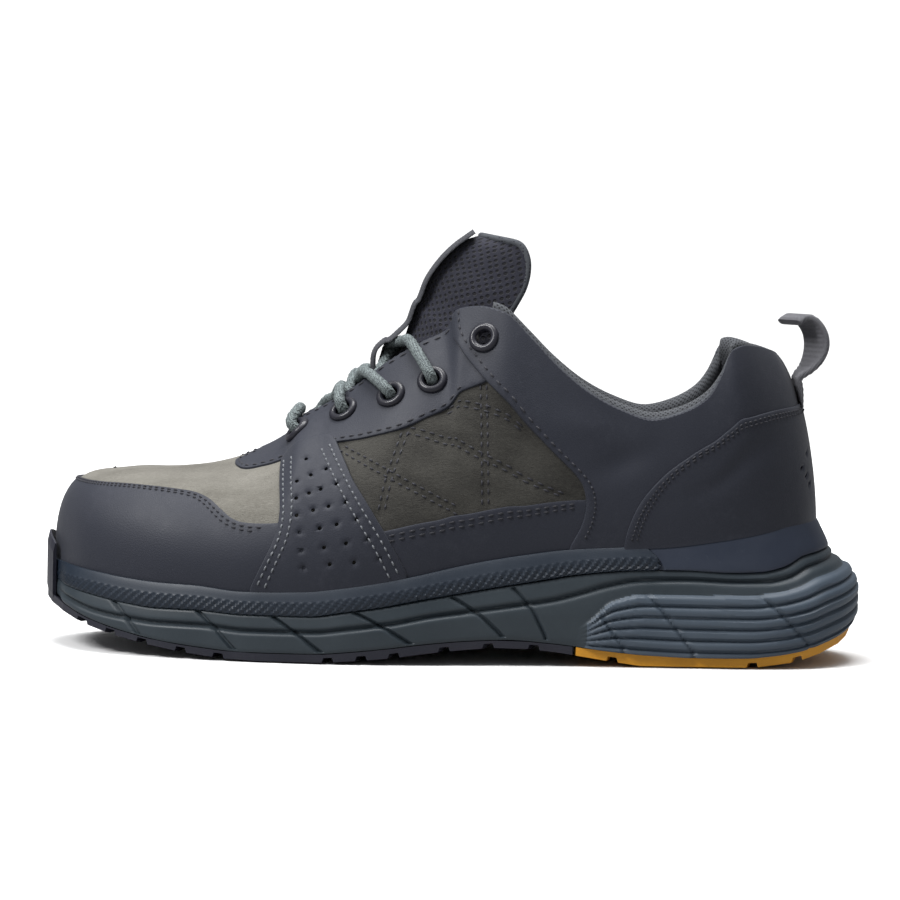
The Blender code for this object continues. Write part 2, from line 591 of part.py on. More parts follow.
def tread_plate(name, span, channels, surface):
    # A plate under the midsole whose lower face is cut into lugs by channels.
    half = CHANNEL_WIDTH / 2 / SOLE_LENGTH
    slope = CHANNEL_SLOPE / SOLE_LENGTH
    lines = [(span[0], 0), (span[1], 0)]
    for s in channels:
        lines += [(s - half - slope, 0), (s - half, 1), (s + half, 1), (s + half + slope, 0)]
    lines += [(s, 0) for s in PLAIN_LINES if span[0] < s < span[1]]
    lines.sort()
    across = [(0.0, 0), (0.08, 0), (0.92, 0), (1.0, 0)]
    for t in LONG_CHANNELS:
        across += [(t - 0.024, 0), (t - 0.016, 1), (t + 0.016, 1), (t + 0.024, 0)]
    across.sort()
    points, faces = [], []
    for s, cross in lines:
        for t, along in across:
            points.append(tread_point(s, t, cross or (along and 0.03 < s < 0.97), span))
    wide = len(across)
    for i in range(len(lines) - 1):
        for j in range(wide - 1):
            a = i * wide + j
            faces.append((a, a + 1, a + wide + 1, a + wide))
    top = len(points)
    for s, cross in lines:
        for t in (0.0, 1.0):
            x, y, z = tread_point(s, t, 0, span)
            angle = around(s)
            points.append((x, y, height("tread", angle)))
    for i in range(len(lines) - 1):
        a, b = top + 2 * i, i * wide
        faces.append((a, a + 2, a + 3, a + 1))
        faces.append((a, a + 2, b + wide, b))
        faces.append((a + 1, a + 3, b + 2 * wide - 1, b + wide - 1))
    for i in (0, len(lines) - 1):
        a, b = top + 2 * i, i * wide
        faces.append(tuple([a] + list(range(b, b + wide)) + [a + 1]))
    return add_object(name, points, faces, surface, 30.0)


def tread_point(share, across, depth, span):
    room = min(1.0, (share - span[0]) / 0.05, (span[1] - share) / 0.05)
    share += CHEVRON / SOLE_LENGTH * math.sin(math.pi * across) * max(0.0, room)
    angle = around(share)
    outer = between_free(angle, -1)
    inner = between_free(angle, 1)
    x, y = outer + (inner - outer) * across
    edge = TREAD_EDGE if across in (0.0, 1.0) else 0.0
    return (x, y, height("ground", angle) + CHANNEL_DEPTH * min(1, depth) + edge)


def between_free(angle, side):
    angle = np.array([angle])
    foot, sole = foot_outline(angle, side)[0], sole_outline(angle, side)[0]
    return foot + (sole - foot) * 0.92


def bumper():
    # The part of the outsole that wraps up over the tip of the toe.
    rings = []
    for i in range(9):
        angle = BUMPER_SPREAD * (i / 4 - 1)
        side = -1 if angle < 0 else 1
        angle = abs(angle)
        low = height("ground", angle) + 2 * TREAD_EDGE
        high = BUMPER_HEIGHT - BUMPER_DIP * (angle / BUMPER_SPREAD) ** 2
        outer = sole_outline(np.array([angle]), side)[0]
        normal = foot_normal(np.array([angle]), side)[0]
        ring = []
        for up, out in ((0.0, 0.6), (0.12, 1.0), (0.85, 1.0), (1.0, 0.45)):
            ring.append((*(outer - normal * BUMPER_THICKNESS * (1 - out)), low + (high - low) * up))
        for up in (1.0, 0.0):
            inner = outer - normal * BUMPER_THICKNESS * (1.0 if up else 1.9)
            ring.append((*inner, low + (high - low) * up))
        ring.insert(5, (*(outer - normal * BUMPER_THICKNESS), height("tread", angle) - TREAD_EDGE / 3))
        rings.append(ring)
    return loft("toe_bumper_guide", rings, None)


# The wall of the upper is laid out flat: metres round it and metres up it, near enough.
FLAT_ROUND = 0.36
FLAT_UP = 0.09
FOOT_EDGE = 0.0022


def flat_outline(name):
    return np.array(OVERLAYS[name][1]) * (FLAT_ROUND, FLAT_UP)


def inset_outline(outline, inset):
    # Moves each side of a closed outline inward and meets the moved sides at the corners.
    area = np.sum(outline[:, 0] * np.roll(outline[:, 1], -1) - np.roll(outline[:, 0], -1) * outline[:, 1])
    turn = 1 if area > 0 else -1
    moved = []
    for i, corner in enumerate(outline):
        back = corner - outline[i - 1]
        ahead = outline[(i + 1) % len(outline)] - corner
        back, ahead = back / np.linalg.norm(back), ahead / np.linalg.norm(ahead)
        normal = np.array([-(back + ahead)[1], (back + ahead)[0]]) * turn
        normal /= np.linalg.norm(normal)
        cosine = normal @ np.array([-back[1], back[0]]) * turn
        moved.append(corner + normal * inset / max(cosine, 0.4))
    return np.array(moved)


def inside_depth(points, outline):
    # Distance of points inside a closed outline to its edge, negative outside.
    start, end = outline, np.roll(outline, -1, 0)
    run = end - start
    to_point = points[:, None] - start
    t = np.clip((to_point * run).sum(-1) / (run * run).sum(-1), 0, 1)
    distance = np.linalg.norm(to_point - run * t[..., None], axis=-1).min(1)
    crosses = (start[:, 1] > points[:, 1:2]) != (end[:, 1] > points[:, 1:2])
    rise = np.where(run[:, 1] == 0, 1, run[:, 1])
    x = start[:, 0] + (points[:, 1:2] - start[:, 1]) * run[:, 0] / rise
    inside = (crosses & (points[:, 0:1] < x)).sum(1) % 2 == 1
    return np.where(inside, distance, -distance)


def overlay_height(points):
    # Height of the outer face over the bare wall, by the layers that lie there.
    heights = np.zeros(len(points))
    for name, (layers, outline) in OVERLAYS.items():
        depth = inside_depth(points, flat_outline(name))
        heights = np.maximum(heights, layers * OVERLAY * np.clip(depth / OVERLAY_EDGE, 0, 1))
    return heights * np.clip(points[:, 1] / FOOT_EDGE, 0, 1)


def wall_point(flat, side, out):
    # Places flat points on the wall, moved out along its normal. Points on the toe's and the
    # heel's middle line and on the ridge of the toe are the mean of both sides.
    angle = flat[:, 0] / FLAT_ROUND * math.pi
    up = flat[:, 1] / FLAT_UP
    placed = {}
    for s in (-1, 1):
        normal = upper_normal(angle, up, s)
        placed[s] = upper_surface(angle, up, s) + normal * out[:, None]
    shared = shared_points(flat)
    mean = (placed[-1] + placed[1]) / 2
    return np.where(shared[:, None], mean, placed[side])


def shared_points(flat):
    small = 1e-6
    ends = (flat[:, 0] < small) | (flat[:, 0] > FLAT_ROUND - small)
    ridge = (flat[:, 1] > FLAT_UP - small) & (flat[:, 0] < throat_start() + small)
    return ends | ridge


def throat_start():
    return around(THROAT_START) / math.pi * FLAT_ROUND


def eyelet_place(place, side):
    # Centre of an eyelet on the bare wall, its outward normal, and the two slopes of the
    # wall there, over flat metres round and up.
    flat = np.array([[place[0] * FLAT_ROUND, place[1] * FLAT_UP]])
    step = 1e-3
    centre = wall_point(flat, side, np.zeros(1))[0]
    normal = upper_normal(flat[:, 0] / FLAT_ROUND * math.pi, flat[:, 1] / FLAT_UP, side)[0]
    along = (wall_point(flat + (step, 0), side, np.zeros(1))[0] - centre) / step
    rise = (centre - wall_point(flat - (0, step), side, np.zeros(1))[0]) / step
    return centre, normal, along, rise, float(overlay_height(flat)[0])


def flat_near(place, side, right, up):
    # The flat place that lies right and up of an eyelet's centre, as seen along its normal.
    centre, normal, along, rise, top = eyelet_place(place, side)
    across = along / np.linalg.norm(along)
    upward = np.cross(normal, across) * -side
    slopes = np.array([[along @ across, rise @ across], [along @ upward, rise @ upward]])
    flat = np.array([place]) * (FLAT_ROUND, FLAT_UP)
    for i in range(4):
        gap = wall_point(flat, side, np.zeros(1))[0] - centre
        flat = flat + np.linalg.solve(slopes, (right - gap @ across, up - gap @ upward))
        flat[0, 1] = min(flat[0, 1], FLAT_UP)
    return flat[0]


def eyelet_hole(place):
    # Flat outline of the round hole for an eyelet, the same on both sides.
    hole = []
    for k in range(HOLE_SIDES):
        turn = 2 * math.pi * k / HOLE_SIDES
        right, up = EYELET_HOLE / 2 * math.cos(turn), EYELET_HOLE / 2 * math.sin(turn)
        hole.append((flat_near(place, -1, right, up) + flat_near(place, 1, right, up)) / 2)
    return np.array(hole)


def tessellate(points, edges, holes):
    # Triangles over the flat wall, with the given edges kept and the holes left open.
    vectors = [Vector(p) for p in points]
    flat, kept_edges, triangles, *ids = delaunay_2d_cdt(vectors, edges, [], 0, 1e-6)
    flat = np.array([tuple(v) for v in flat])
    low, high = (-1e-6, -SKIRT * FLAT_UP - 1e-6), (FLAT_ROUND + 1e-6, FLAT_UP + 1e-6)
    triangles = np.array(triangles)
    middle = flat[triangles].mean(1)
    keep = ((middle > low) & (middle < high)).all(1)
    for hole in holes:
        keep &= inside_depth(middle, hole) < 0
    triangles = triangles[keep]
    used = np.unique(triangles)
    renumber = np.full(len(flat), -1)
    renumber[used] = np.arange(len(used))
    return flat[used], renumber[triangles]


def closed_edges(start, count):
    return [(start + i, start + (i + 1) % count) for i in range(count)]


def border_points():
    # Points round the border of the flat wall, denser along the collar.
    round_shares = set(np.linspace(0, 1, WALL_COLUMNS + 1)) | {around(THROAT_START) / math.pi}
    top_shares = round_shares | {around(s) / math.pi for s in TOPLINE.shares if s > THROAT_START}
    bottom = [(s * FLAT_ROUND, -SKIRT * FLAT_UP) for s in sorted(round_shares)]
    top = [(s * FLAT_ROUND, FLAT_UP) for s in sorted(top_shares, reverse=True)]
    rows = sorted({up * FLAT_UP for up in WALL_ROWS[:-1]} | {FOOT_EDGE})
    right = [(FLAT_ROUND, y) for y in rows]
    left = [(0.0, y) for y in reversed(rows)]
    return bottom + right + top + left


def grid_points(columns, rows, barriers, clearance):
    shares = [s for s in np.linspace(0, 1, columns + 1)[1:-1]
              if min(abs(s - extra) for extra in THROAT_COLUMNS) > 0.007]
    grid = np.array([(s * FLAT_ROUND, up * FLAT_UP) for s in shares + list(THROAT_COLUMNS) for up in rows])
    for outline in barriers:
        grid = grid[np.abs(inside_depth(grid, outline)) > clearance]
    return grid


def outer_layout(holes):
    outlines = []
    for name in OVERLAYS:
        outline = flat_outline(name)
        outlines += [outline, inset_outline(outline, OVERLAY_EDGE)]
    for hole in holes:
        outlines = outlines + [hole]
    border = border_points()
    points, edges = list(border), closed_edges(0, len(border))
    grid = grid_points(WALL_COLUMNS, WALL_ROWS[1:-1], outlines, 0.0018)
    for hole in holes:
        grid = grid[inside_depth(grid, hole) < 0]
        middle = hole.mean(0)
        ring = middle + (hole - middle) * HOLE_RING
        points += [tuple(p) for p in ring if p[1] < FLAT_UP - 0.0008]
    for outline in outlines:
        edges += closed_edges(len(points), len(outline))
        points += [tuple(p) for p in outline]
    for up in (0.0, FOOT_EDGE):
        line = [(s * FLAT_ROUND, up) for s in np.linspace(0, 1, WALL_COLUMNS + 1)]
        edges += [(len(points) + i, len(points) + i + 1) for i in range(WALL_COLUMNS)]
        points += line
    points += [tuple(p) for p in grid]
    return tessellate(points, edges, holes)


def inner_layout(border, holes):
    points, edges = [tuple(p) for p in border], closed_edges(0, len(border))
    grid = grid_points(INNER_COLUMNS, WALL_ROWS[:-1] + INNER_ROWS, holes, 0.0022)
    for hole in holes:
        grid = grid[inside_depth(grid, hole) < 0]
        edges += closed_edges(len(points), len(hole))
        points += [tuple(p) for p in hole]
    points += [tuple(p) for p in grid]
    return tessellate(points, edges, holes)


def border_loop(flat, triangles, holes):
    # The border's points in order: along the foot, up the heel, back along the top, down.
    small = 1e-6
    foot = np.flatnonzero(flat[:, 1] < -SKIRT * FLAT_UP + small)
    top = np.flatnonzero(flat[:, 1] > FLAT_UP - small)
    inner = np.flatnonzero((flat[:, 1] > -SKIRT * FLAT_UP + small) & (flat[:, 1] < FLAT_UP - small))
    heel = inner[flat[inner, 0] > FLAT_ROUND - small]
    toe = inner[flat[inner, 0] < small]
    return (list(foot[np.argsort(flat[foot, 0])]) + list(heel[np.argsort(flat[heel, 1])])
            + list(top[np.argsort(-flat[top, 0])]) + list(toe[np.argsort(-flat[toe, 1])]))


def match(points, flat):
    return [int(np.argmin(((flat - p) ** 2).sum(1))) for p in points]


def upper():
    holes = [eyelet_hole(place) for place in EYELETS]
    outer, outer_faces = outer_layout(holes)
    order = border_loop(outer, outer_faces, holes)
    inner, inner_faces = inner_layout(outer[order], holes)
    heights = overlay_height(outer) - OVERLAY
    depth = np.full(len(inner), -WALL - OVERLAY)
    points, faces = [], []
    index = {}
    for layer, flat, out in (("outer", outer, heights), ("inner", inner, depth)):
        shared = shared_points(flat)
        for side in (-1, 1):
            placed = wall_point(flat, side, out)
            for i in range(len(flat)):
                if shared[i] and side == 1:
                    index[layer, i, side] = index[layer, i, -1]
                    continue
                index[layer, i, side] = len(points)
                points.append(placed[i])
    for side in (-1, 1):
        for layer, triangles in (("outer", outer_faces), ("inner", inner_faces)):
            for triangle in triangles:
                corners = tuple(index[layer, i, side] for i in triangle)
                if any(corner != index[layer, i, -side] for corner, i in zip(corners, triangle)):
                    faces.append(corners)
        rims = [outer[order]] + [hole for hole in holes]
        for loop in rims:
            outside, inside = match(loop, outer), match(loop, inner)
            for k in range(len(loop)):
                m = (k + 1) % len(loop)
                if not is_open_edge(loop[k], loop[m]):
                    continue
                faces.append((index["outer", outside[k], side], index["outer", outside[m], side],
                              index["inner", inside[m], side], index["inner", inside[k], side]))
    return add_object("upper", points, faces, material("upper_leather", (0.075, 0.082, 0.105), 0.55), 25.0)


def is_open_edge(start, end):
    # Border edges on the toe's and heel's middle line and on the ridge are joined, not open.
    small = 1e-6
    ends = max(start[0], end[0]) < small or min(start[0], end[0]) > FLAT_ROUND - small
    ridge = min(start[1], end[1]) > FLAT_UP - small and max(start[0], end[0]) < throat_start() + small
    return not (ends or ridge)


def eyelet(name, place, side, surface):
    centre, normal, along, rise, top = eyelet_place(place, side)
    across = along / np.linalg.norm(along)
    across -= normal * (across @ normal)
    across /= np.linalg.norm(across)
    upward = np.cross(normal, across) * -side
    face = centre + normal * (top - OVERLAY)
    foot = -WALL
    half = EYELET_OUTER / 2
    rings = []
    for k in range(EYELET_SIDES):
        turn = 2 * math.pi * k / EYELET_SIDES
        spoke = across * math.cos(turn) + upward * math.sin(turn)
        flat = np.array([flat_near(place, side, half * math.cos(turn), half * math.sin(turn))])
        bend = min(0.0, (wall_point(flat, side, np.array([top - OVERLAY]))[0] - face) @ normal)
        profile = ((EYELET_BORE / 2, foot), (EYELET_BORE / 2, EYELET_RISE * 0.8),
                   (half * 0.78, EYELET_RISE + 0.5 * bend), (half, 3 * GAP + bend),
                   (EYELET_BARREL / 2, 3 * GAP + 0.3 * bend), (EYELET_BARREL / 2, foot))
        rings.append([face + spoke * r + normal * z for r, z in profile])
    return loft(name, rings, surface, is_loop=True)


def tongue_place(way, across):
    # A point of the tongue's face and its outward normal, across from -1 to 1.
    read = {name: float(TONGUE.read(name, np.array([way]))[0]) for name in TONGUE.columns}
    half = read["half"] * TONGUE_WIDTH / 2
    drop = read["drop"] * TONGUE_WIDTH / 2
    lean = math.radians(read["lean"])
    down = np.array([math.sin(lean), 0, -math.cos(lean)])
    power = 1.6 + 0.6 * read["lean"] / 80
    z = read["up"] * UPPER_HEIGHT + read["stand"] * TONGUE_STAND
    centre = np.array([read["x"] * SOLE_LENGTH, THROAT_MIDDLE, z])
    side = math.copysign(1, across)
    point = centre + np.array([0, half * across, 0]) + down * drop * abs(across) ** power
    slope = drop * power * abs(across) ** (power - 1) * side
    normal = -down * half + np.array([0, slope, 0])
    return point, normal / np.linalg.norm(normal), read["pad"] * TONGUE_PAD


def tongue():
    shares = [math.sin(math.pi / 2 * k / 4) for k in range(-4, 5)]
    rings = []
    for way in TONGUE.keys:
        face = [tongue_place(way, share) for share in shares]
        ring = [point for point, normal, pad in face]
        for share, (point, normal, pad) in reversed(list(zip(shares, face))):
            ring.append(point - normal * pad * (1 - 0.65 * abs(share) ** 3))
        rings.append(ring)
    return loft("tongue", rings, material("tongue_mesh", (0.03, 0.033, 0.055), 0.85), smooth_angle=60.0)


def tongue_normal(way):
    step = 0.01
    run = tongue_place(min(way + step, 1), 0)[0] - tongue_place(max(way - step, 0), 0)[0]
    run /= np.linalg.norm(run)
    return np.array([-run[2], 0, run[0]])


def tongue_strip():
    path = []
    for way, off in zip(STRIP.keys, STRIP.columns["off"]):
        middle = tongue_place(way, 0)[0]
        path.append(middle + tongue_normal(way) * (off * TONGUE_PAD + 9 * GAP))
    run = np.gradient(np.array(path), axis=0)
    run /= np.linalg.norm(run, axis=1, keepdims=True)
    rings = []
    for middle, along in zip(path, run):
        normal = np.array([-along[2], 0, along[0]])
        outward = np.array([0, STRIP_WIDTH / 2, 0])
        base = [middle - outward - normal * STRIP_SAG, middle, middle + outward - normal * STRIP_SAG]
        rings.append(base + [p + normal * STRIP_THICKNESS for p in reversed(base)])
    return loft("tongue_strip", rings, material("webbing_dark", (0.035, 0.035, 0.05), 0.8))


def lining_ring(angle, side):
    share = np.array([angle])
    top = upper_surface(share, np.array([1.0]), side)[0]
    low_up = 1 - LINING_DEPTH / np.linalg.norm(top - upper_surface(share, np.array([0.0]), side)[0])
    pad = LINING_PAD * float(LINING.read("pad", share)[0])
    back = WALL + OVERLAY + 6 * GAP
    ring = []

    def inside(up, depth, stand=0.0):
        up = np.array([up])
        out = upper_normal(share, up, side)[0]
        point = upper_surface(share, up, side)[0] - out * depth
        return point + np.array([0, 0, stand])

    middle_up = (low_up + 1) / 2
    ring += [inside(low_up, back), inside(middle_up, back), inside(1.0, back)]
    ring += [inside(1.0, back + 0.22 * pad, LINING_STAND), inside(1.0, back + 0.7 * pad, LINING_STAND * 0.95)]
    ring += [inside(1.0, back + pad, -LINING_STAND / 3), inside(middle_up, back + 0.95 * pad)]
    ring += [inside(low_up, back + 0.25 * pad)]
    return ring


def collar_lining():
    shares = LINING.shares
    rings = [lining_ring(around(s), -1) for s in shares[:-1]]
    last = (np.array(lining_ring(math.pi, -1)) + np.array(lining_ring(math.pi, 1))) / 2
    rings.append(last)
    rings += [lining_ring(around(s), 1) for s in shares[-2::-1]]
    return loft("collar_lining", rings, material("collar_mesh", (0.06, 0.062, 0.07), 0.9), smooth_angle=60.0)


def pull_loop():
    rings = []
    path, turns = [], []
    for up in LOOP_SEAT:
        flat = np.array([[FLAT_ROUND, up * FLAT_UP]])
        out = overlay_height(flat) - OVERLAY + LOOP_THICKNESS / 2 + GAP
        path.append(wall_point(flat, -1, out)[0][[0, 2]])
        turns.append(0.0)
    path += [(x * SOLE_LENGTH, z * UPPER_HEIGHT) for x, z, turn in PULL_LOOP]
    turns += [turn for x, z, turn in PULL_LOOP]
    run = np.gradient(np.array(path), axis=0)
    for (x, z), (dx, dz), turn in zip(path, run, turns):
        turned = math.radians(LOOP_TURN * turn)
        width = LOOP_WIDTH * np.array([-math.sin(turned), math.cos(turned), 0])
        along = np.array([dx, 0, dz]) / math.hypot(dx, dz)
        thick = np.cross(width, along)
        thick *= LOOP_THICKNESS / 2 / np.linalg.norm(thick)
        near = np.array([x, -LOOP_WIDTH / 2, z])
        rings.append([near - thick, near + thick, near + width + thick, near + width - thick])
    return loft("pull_loop", rings, material("loop_webbing", (0.09, 0.095, 0.10), 0.8))


def tube(name, points, radius, surface, sides=6):
    # A round cord along hand-set points, with its corners cut once on either side.
    points = np.array(points)
    cut = [points[0]]
    for start, end in zip(points[:-1], points[1:]):
        cut += [start * 0.75 + end * 0.25, start * 0.25 + end * 0.75]
    path = np.array(cut + [points[-1]])
    run = np.gradient(path, axis=0)
    run /= np.linalg.norm(run, axis=1, keepdims=True)
    spoke = np.cross(run[0], (0, 0, 1))
    rings = []
    for point, along in zip(path, run):
        spoke = spoke - along * (spoke @ along)
        spoke /= np.linalg.norm(spoke)
        other = np.cross(along, spoke)
        turns = [2 * math.pi * k / sides for k in range(sides)]
        rings.append([point + radius * (spoke * math.cos(a) + other * math.sin(a)) for a in turns])
    return loft(name, rings, surface, smooth_angle=70.0)


def lace_exit(row, side):
    # The cord from over the mouth of an eyelet to the flap's edge.
    centre, normal, along, rise, top = eyelet_place(EYELETS[row], side)
    face = centre + normal * (top - OVERLAY)
    edge_flat = np.array([[LACE_EDGES[row] * FLAT_ROUND, FLAT_UP]])
    edge = wall_point(edge_flat, side, np.zeros(1))[0]
    edge_normal = upper_normal(edge_flat[:, 0] / FLAT_ROUND * math.pi, np.array([0.99]), side)[0]
    clear = LACE_DIAMETER / 2 + LACE_CLEARANCE
    toward = (edge - face) / np.linalg.norm(edge - face)
    over = edge + (edge_normal * 1.3 + toward * 1.3) * clear
    return [face + normal * (EYELET_RISE + clear), over]


def lace_seat(x, y, lift):
    # A point over the tongue's face, at a place of the throat.
    ways = np.linspace(0, 1, 101)
    way = float(np.interp(x, TONGUE.read("x", ways) * SOLE_LENGTH, ways))
    half = TONGUE.read("half", np.array([way]))[0] * TONGUE_WIDTH / 2
    point, normal, pad = tongue_place(way, (y - THROAT_MIDDLE) / half)
    return point + normal * (LACE_DIAMETER / 2 + lift)


def lace_strand(row, side, lift, name, surface):
    start = lace_exit(row, side)
    goal_flat = np.array([[LACE_EDGES[row - 1] * FLAT_ROUND, FLAT_UP]])
    goal = wall_point(goal_flat, -side, np.zeros(1))[0]
    across = [start[-1][1] + (goal[1] - start[-1][1]) * t for t in (0.38, 0.58, 0.78)]
    along = [start[-1][0] + (goal[0] - start[-1][0]) * t for t in (0.14, 0.36, 0.66)]
    seats = [lace_seat(x, y, 1.6 * LACE_CLEARANCE + lift) for x, y in zip(along, across)]
    return tube(name, start + seats, LACE_DIAMETER / 2, surface)


def laces():
    surface = material("lace_braid", (0.32, 0.36, 0.36), 0.85)
    (left, left_over), (right, right_over) = (lace_exit(0, side) for side in (-1, 1))
    middle = (left_over + right_over) / 2
    tube("lace_bar", [left, middle, right], LACE_DIAMETER / 2, surface)
    for row in range(1, LACED_EYELETS):
        over, under = (-1, 1) if row % 2 else (1, -1)
        name = "lace_crossing_" + str(row)
        body = lace_strand(row, under, 0.0, name, surface)
        join_body(body, lace_strand(row, over, LACE_DIAMETER * 0.15, name + "_guide", None))


def main():
    for old in list(bpy.data.objects):
        bpy.data.objects.remove(old, do_unlink=True)
    midsole()
    insole()
    rand()
    heel_cradle()
    tread = material("outsole_rubber", (0.02, 0.022, 0.035), 0.6)
    outsole = tread_plate("outsole", FRONT_TREAD, FRONT_CHANNELS, tread)
    join_body(outsole, bumper())
    tread_plate("heel_outsole", HEEL_TREAD, HEEL_CHANNELS, material("heel_rubber", (0.85, 0.40, 0.03), 0.5))
    upper()
    ring = material("eyelet_black", (0.015, 0.015, 0.02), 0.25)
    for side in (-1, 1):
        for i, place in enumerate(EYELETS):
            eyelet("eyelet_" + side_name(side) + "_" + str(i + 1), place, side, ring)
    tongue()
    tongue_strip()
    collar_lining()
    pull_loop()
    laces()


main()
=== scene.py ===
import math

import bmesh
import bpy
import numpy as np
from mathutils import Matrix, Vector
from mathutils.geometry import delaunay_2d_cdt


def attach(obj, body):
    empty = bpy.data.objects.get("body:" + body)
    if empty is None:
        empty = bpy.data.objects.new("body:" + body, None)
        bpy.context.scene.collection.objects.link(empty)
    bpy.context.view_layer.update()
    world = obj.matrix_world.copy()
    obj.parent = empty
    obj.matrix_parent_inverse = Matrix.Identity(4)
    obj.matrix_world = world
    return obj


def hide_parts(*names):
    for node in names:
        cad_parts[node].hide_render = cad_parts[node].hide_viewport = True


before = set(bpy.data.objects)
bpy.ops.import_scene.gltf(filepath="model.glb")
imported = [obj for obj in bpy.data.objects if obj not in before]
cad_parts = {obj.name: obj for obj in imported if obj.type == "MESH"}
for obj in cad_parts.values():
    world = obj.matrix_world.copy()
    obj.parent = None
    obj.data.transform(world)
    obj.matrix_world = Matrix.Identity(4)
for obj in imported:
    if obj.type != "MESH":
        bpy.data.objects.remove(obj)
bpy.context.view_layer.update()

# Sizes shared with the solids, in metres.
soleLength = 0.306
soleWidth = 0.110
soleSide = 0.050
toeInset = 0.0030
heelInset = 0.0165
sideInset = 0.0035
upperHeight = 0.1312
wall = 0.0014
overlay = 0.0008
skirt = 0.12
gap = 0.0003
recess = 0.0012
seatHeight = 0.0345
bumperThickness = 0.0014
bumperSpread = 0.22
seatInset = 0.0042
eyeletOuter = 0.0115
eyeletBore = 0.0058
eyeletRise = 0.0015
laceDiameter = 0.0042
tongueWidth = 0.056
tonguePad = 0.008
liningPad = 0.0085
liningStand = 0.0028
liningDepth = 0.026
loopWidth = 0.016
loopThickness = 0.0028
lacedEyelets = 4
loopTurn = 27.0
randEnd = 0.772
flatRound = 0.36
flatUp = 0.09


class Table:
    # A short table with named columns, read with smooth curves between its rows.
    # The first column is a share from toe to heel. Round tables are read over the
    # angle of a half circle, so that outlines close round at toe and heel.
    def __init__(self, names, rows, isRound=True):
        values = np.array(rows, float)
        self.isRound = isRound
        self.shares = values[:, 0]
        self.keys = self.spread(values[:, 0])
        self.columns = {name: values[:, i] for i, name in enumerate(names)}
        self.slopes = {name: self.slope(values[:, i]) for i, name in enumerate(names)}

    def spread(self, share):
        if self.isRound:
            return np.arccos(1 - 2 * np.clip(share, 0, 1))
        return share

    def slope(self, y):
        steps = np.diff(self.keys)
        rises = np.diff(y) / steps
        slopes = np.empty_like(y)
        slopes[0] = rises[0]
        slopes[-1] = rises[-1]
        for i in range(1, len(y) - 1):
            before, after = rises[i - 1], rises[i]
            if before * after <= 0:
                slopes[i] = 0
                continue
            w1 = 2 * steps[i] + steps[i - 1]
            w2 = steps[i] + 2 * steps[i - 1]
            slopes[i] = (w1 + w2) / (w1 / before + w2 / after)
        return slopes

    def read(self, name, key):
        key = np.clip(key, self.keys[0], self.keys[-1])
        i = np.clip(np.searchsorted(self.keys, key) - 1, 0, len(self.keys) - 2)
        step = self.keys[i + 1] - self.keys[i]
        t = (key - self.keys[i]) / step
        y, m = self.columns[name], self.slopes[name]
        start = y[i] * (1 + 2 * t) * (1 - t) ** 2 + m[i] * step * t * (1 - t) ** 2
        end = y[i + 1] * t * t * (3 - 2 * t) + m[i + 1] * step * t * t * (t - 1)
        return start + end


# Plan outline of the sole, in shares of its width.
solePlan = Table(("length", "lateral", "medial"), (
    (0.000, 0.085, 0.085), (0.015, -0.081, 0.227), (0.05, -0.236, 0.364), (0.11, -0.350, 0.441),
    (0.19, -0.432, 0.482), (0.28, -0.482, 0.497), (0.37, -0.500, 0.482), (0.46, -0.482, 0.436),
    (0.56, -0.441, 0.386), (0.66, -0.405, 0.366), (0.76, -0.386, 0.377), (0.85, -0.375, 0.394),
    (0.92, -0.336, 0.368), (0.97, -0.227, 0.268), (0.992, -0.109, 0.159), (1.000, 0.018, 0.018)))

# Plan outline of the foot of the upper, in shares of the upper's width.
footPlan = Table(("length", "lateral", "medial"), (
    (0.000, 0.091, 0.091), (0.015, -0.068, 0.233), (0.05, -0.223, 0.364), (0.11, -0.340, 0.437),
    (0.19, -0.422, 0.481), (0.28, -0.481, 0.500), (0.37, -0.500, 0.485), (0.46, -0.481, 0.437),
    (0.56, -0.437, 0.374), (0.66, -0.398, 0.350), (0.76, -0.374, 0.354), (0.85, -0.354, 0.364),
    (0.92, -0.311, 0.325), (0.97, -0.214, 0.233), (0.992, -0.107, 0.136), (1.000, 0.015, 0.015)))

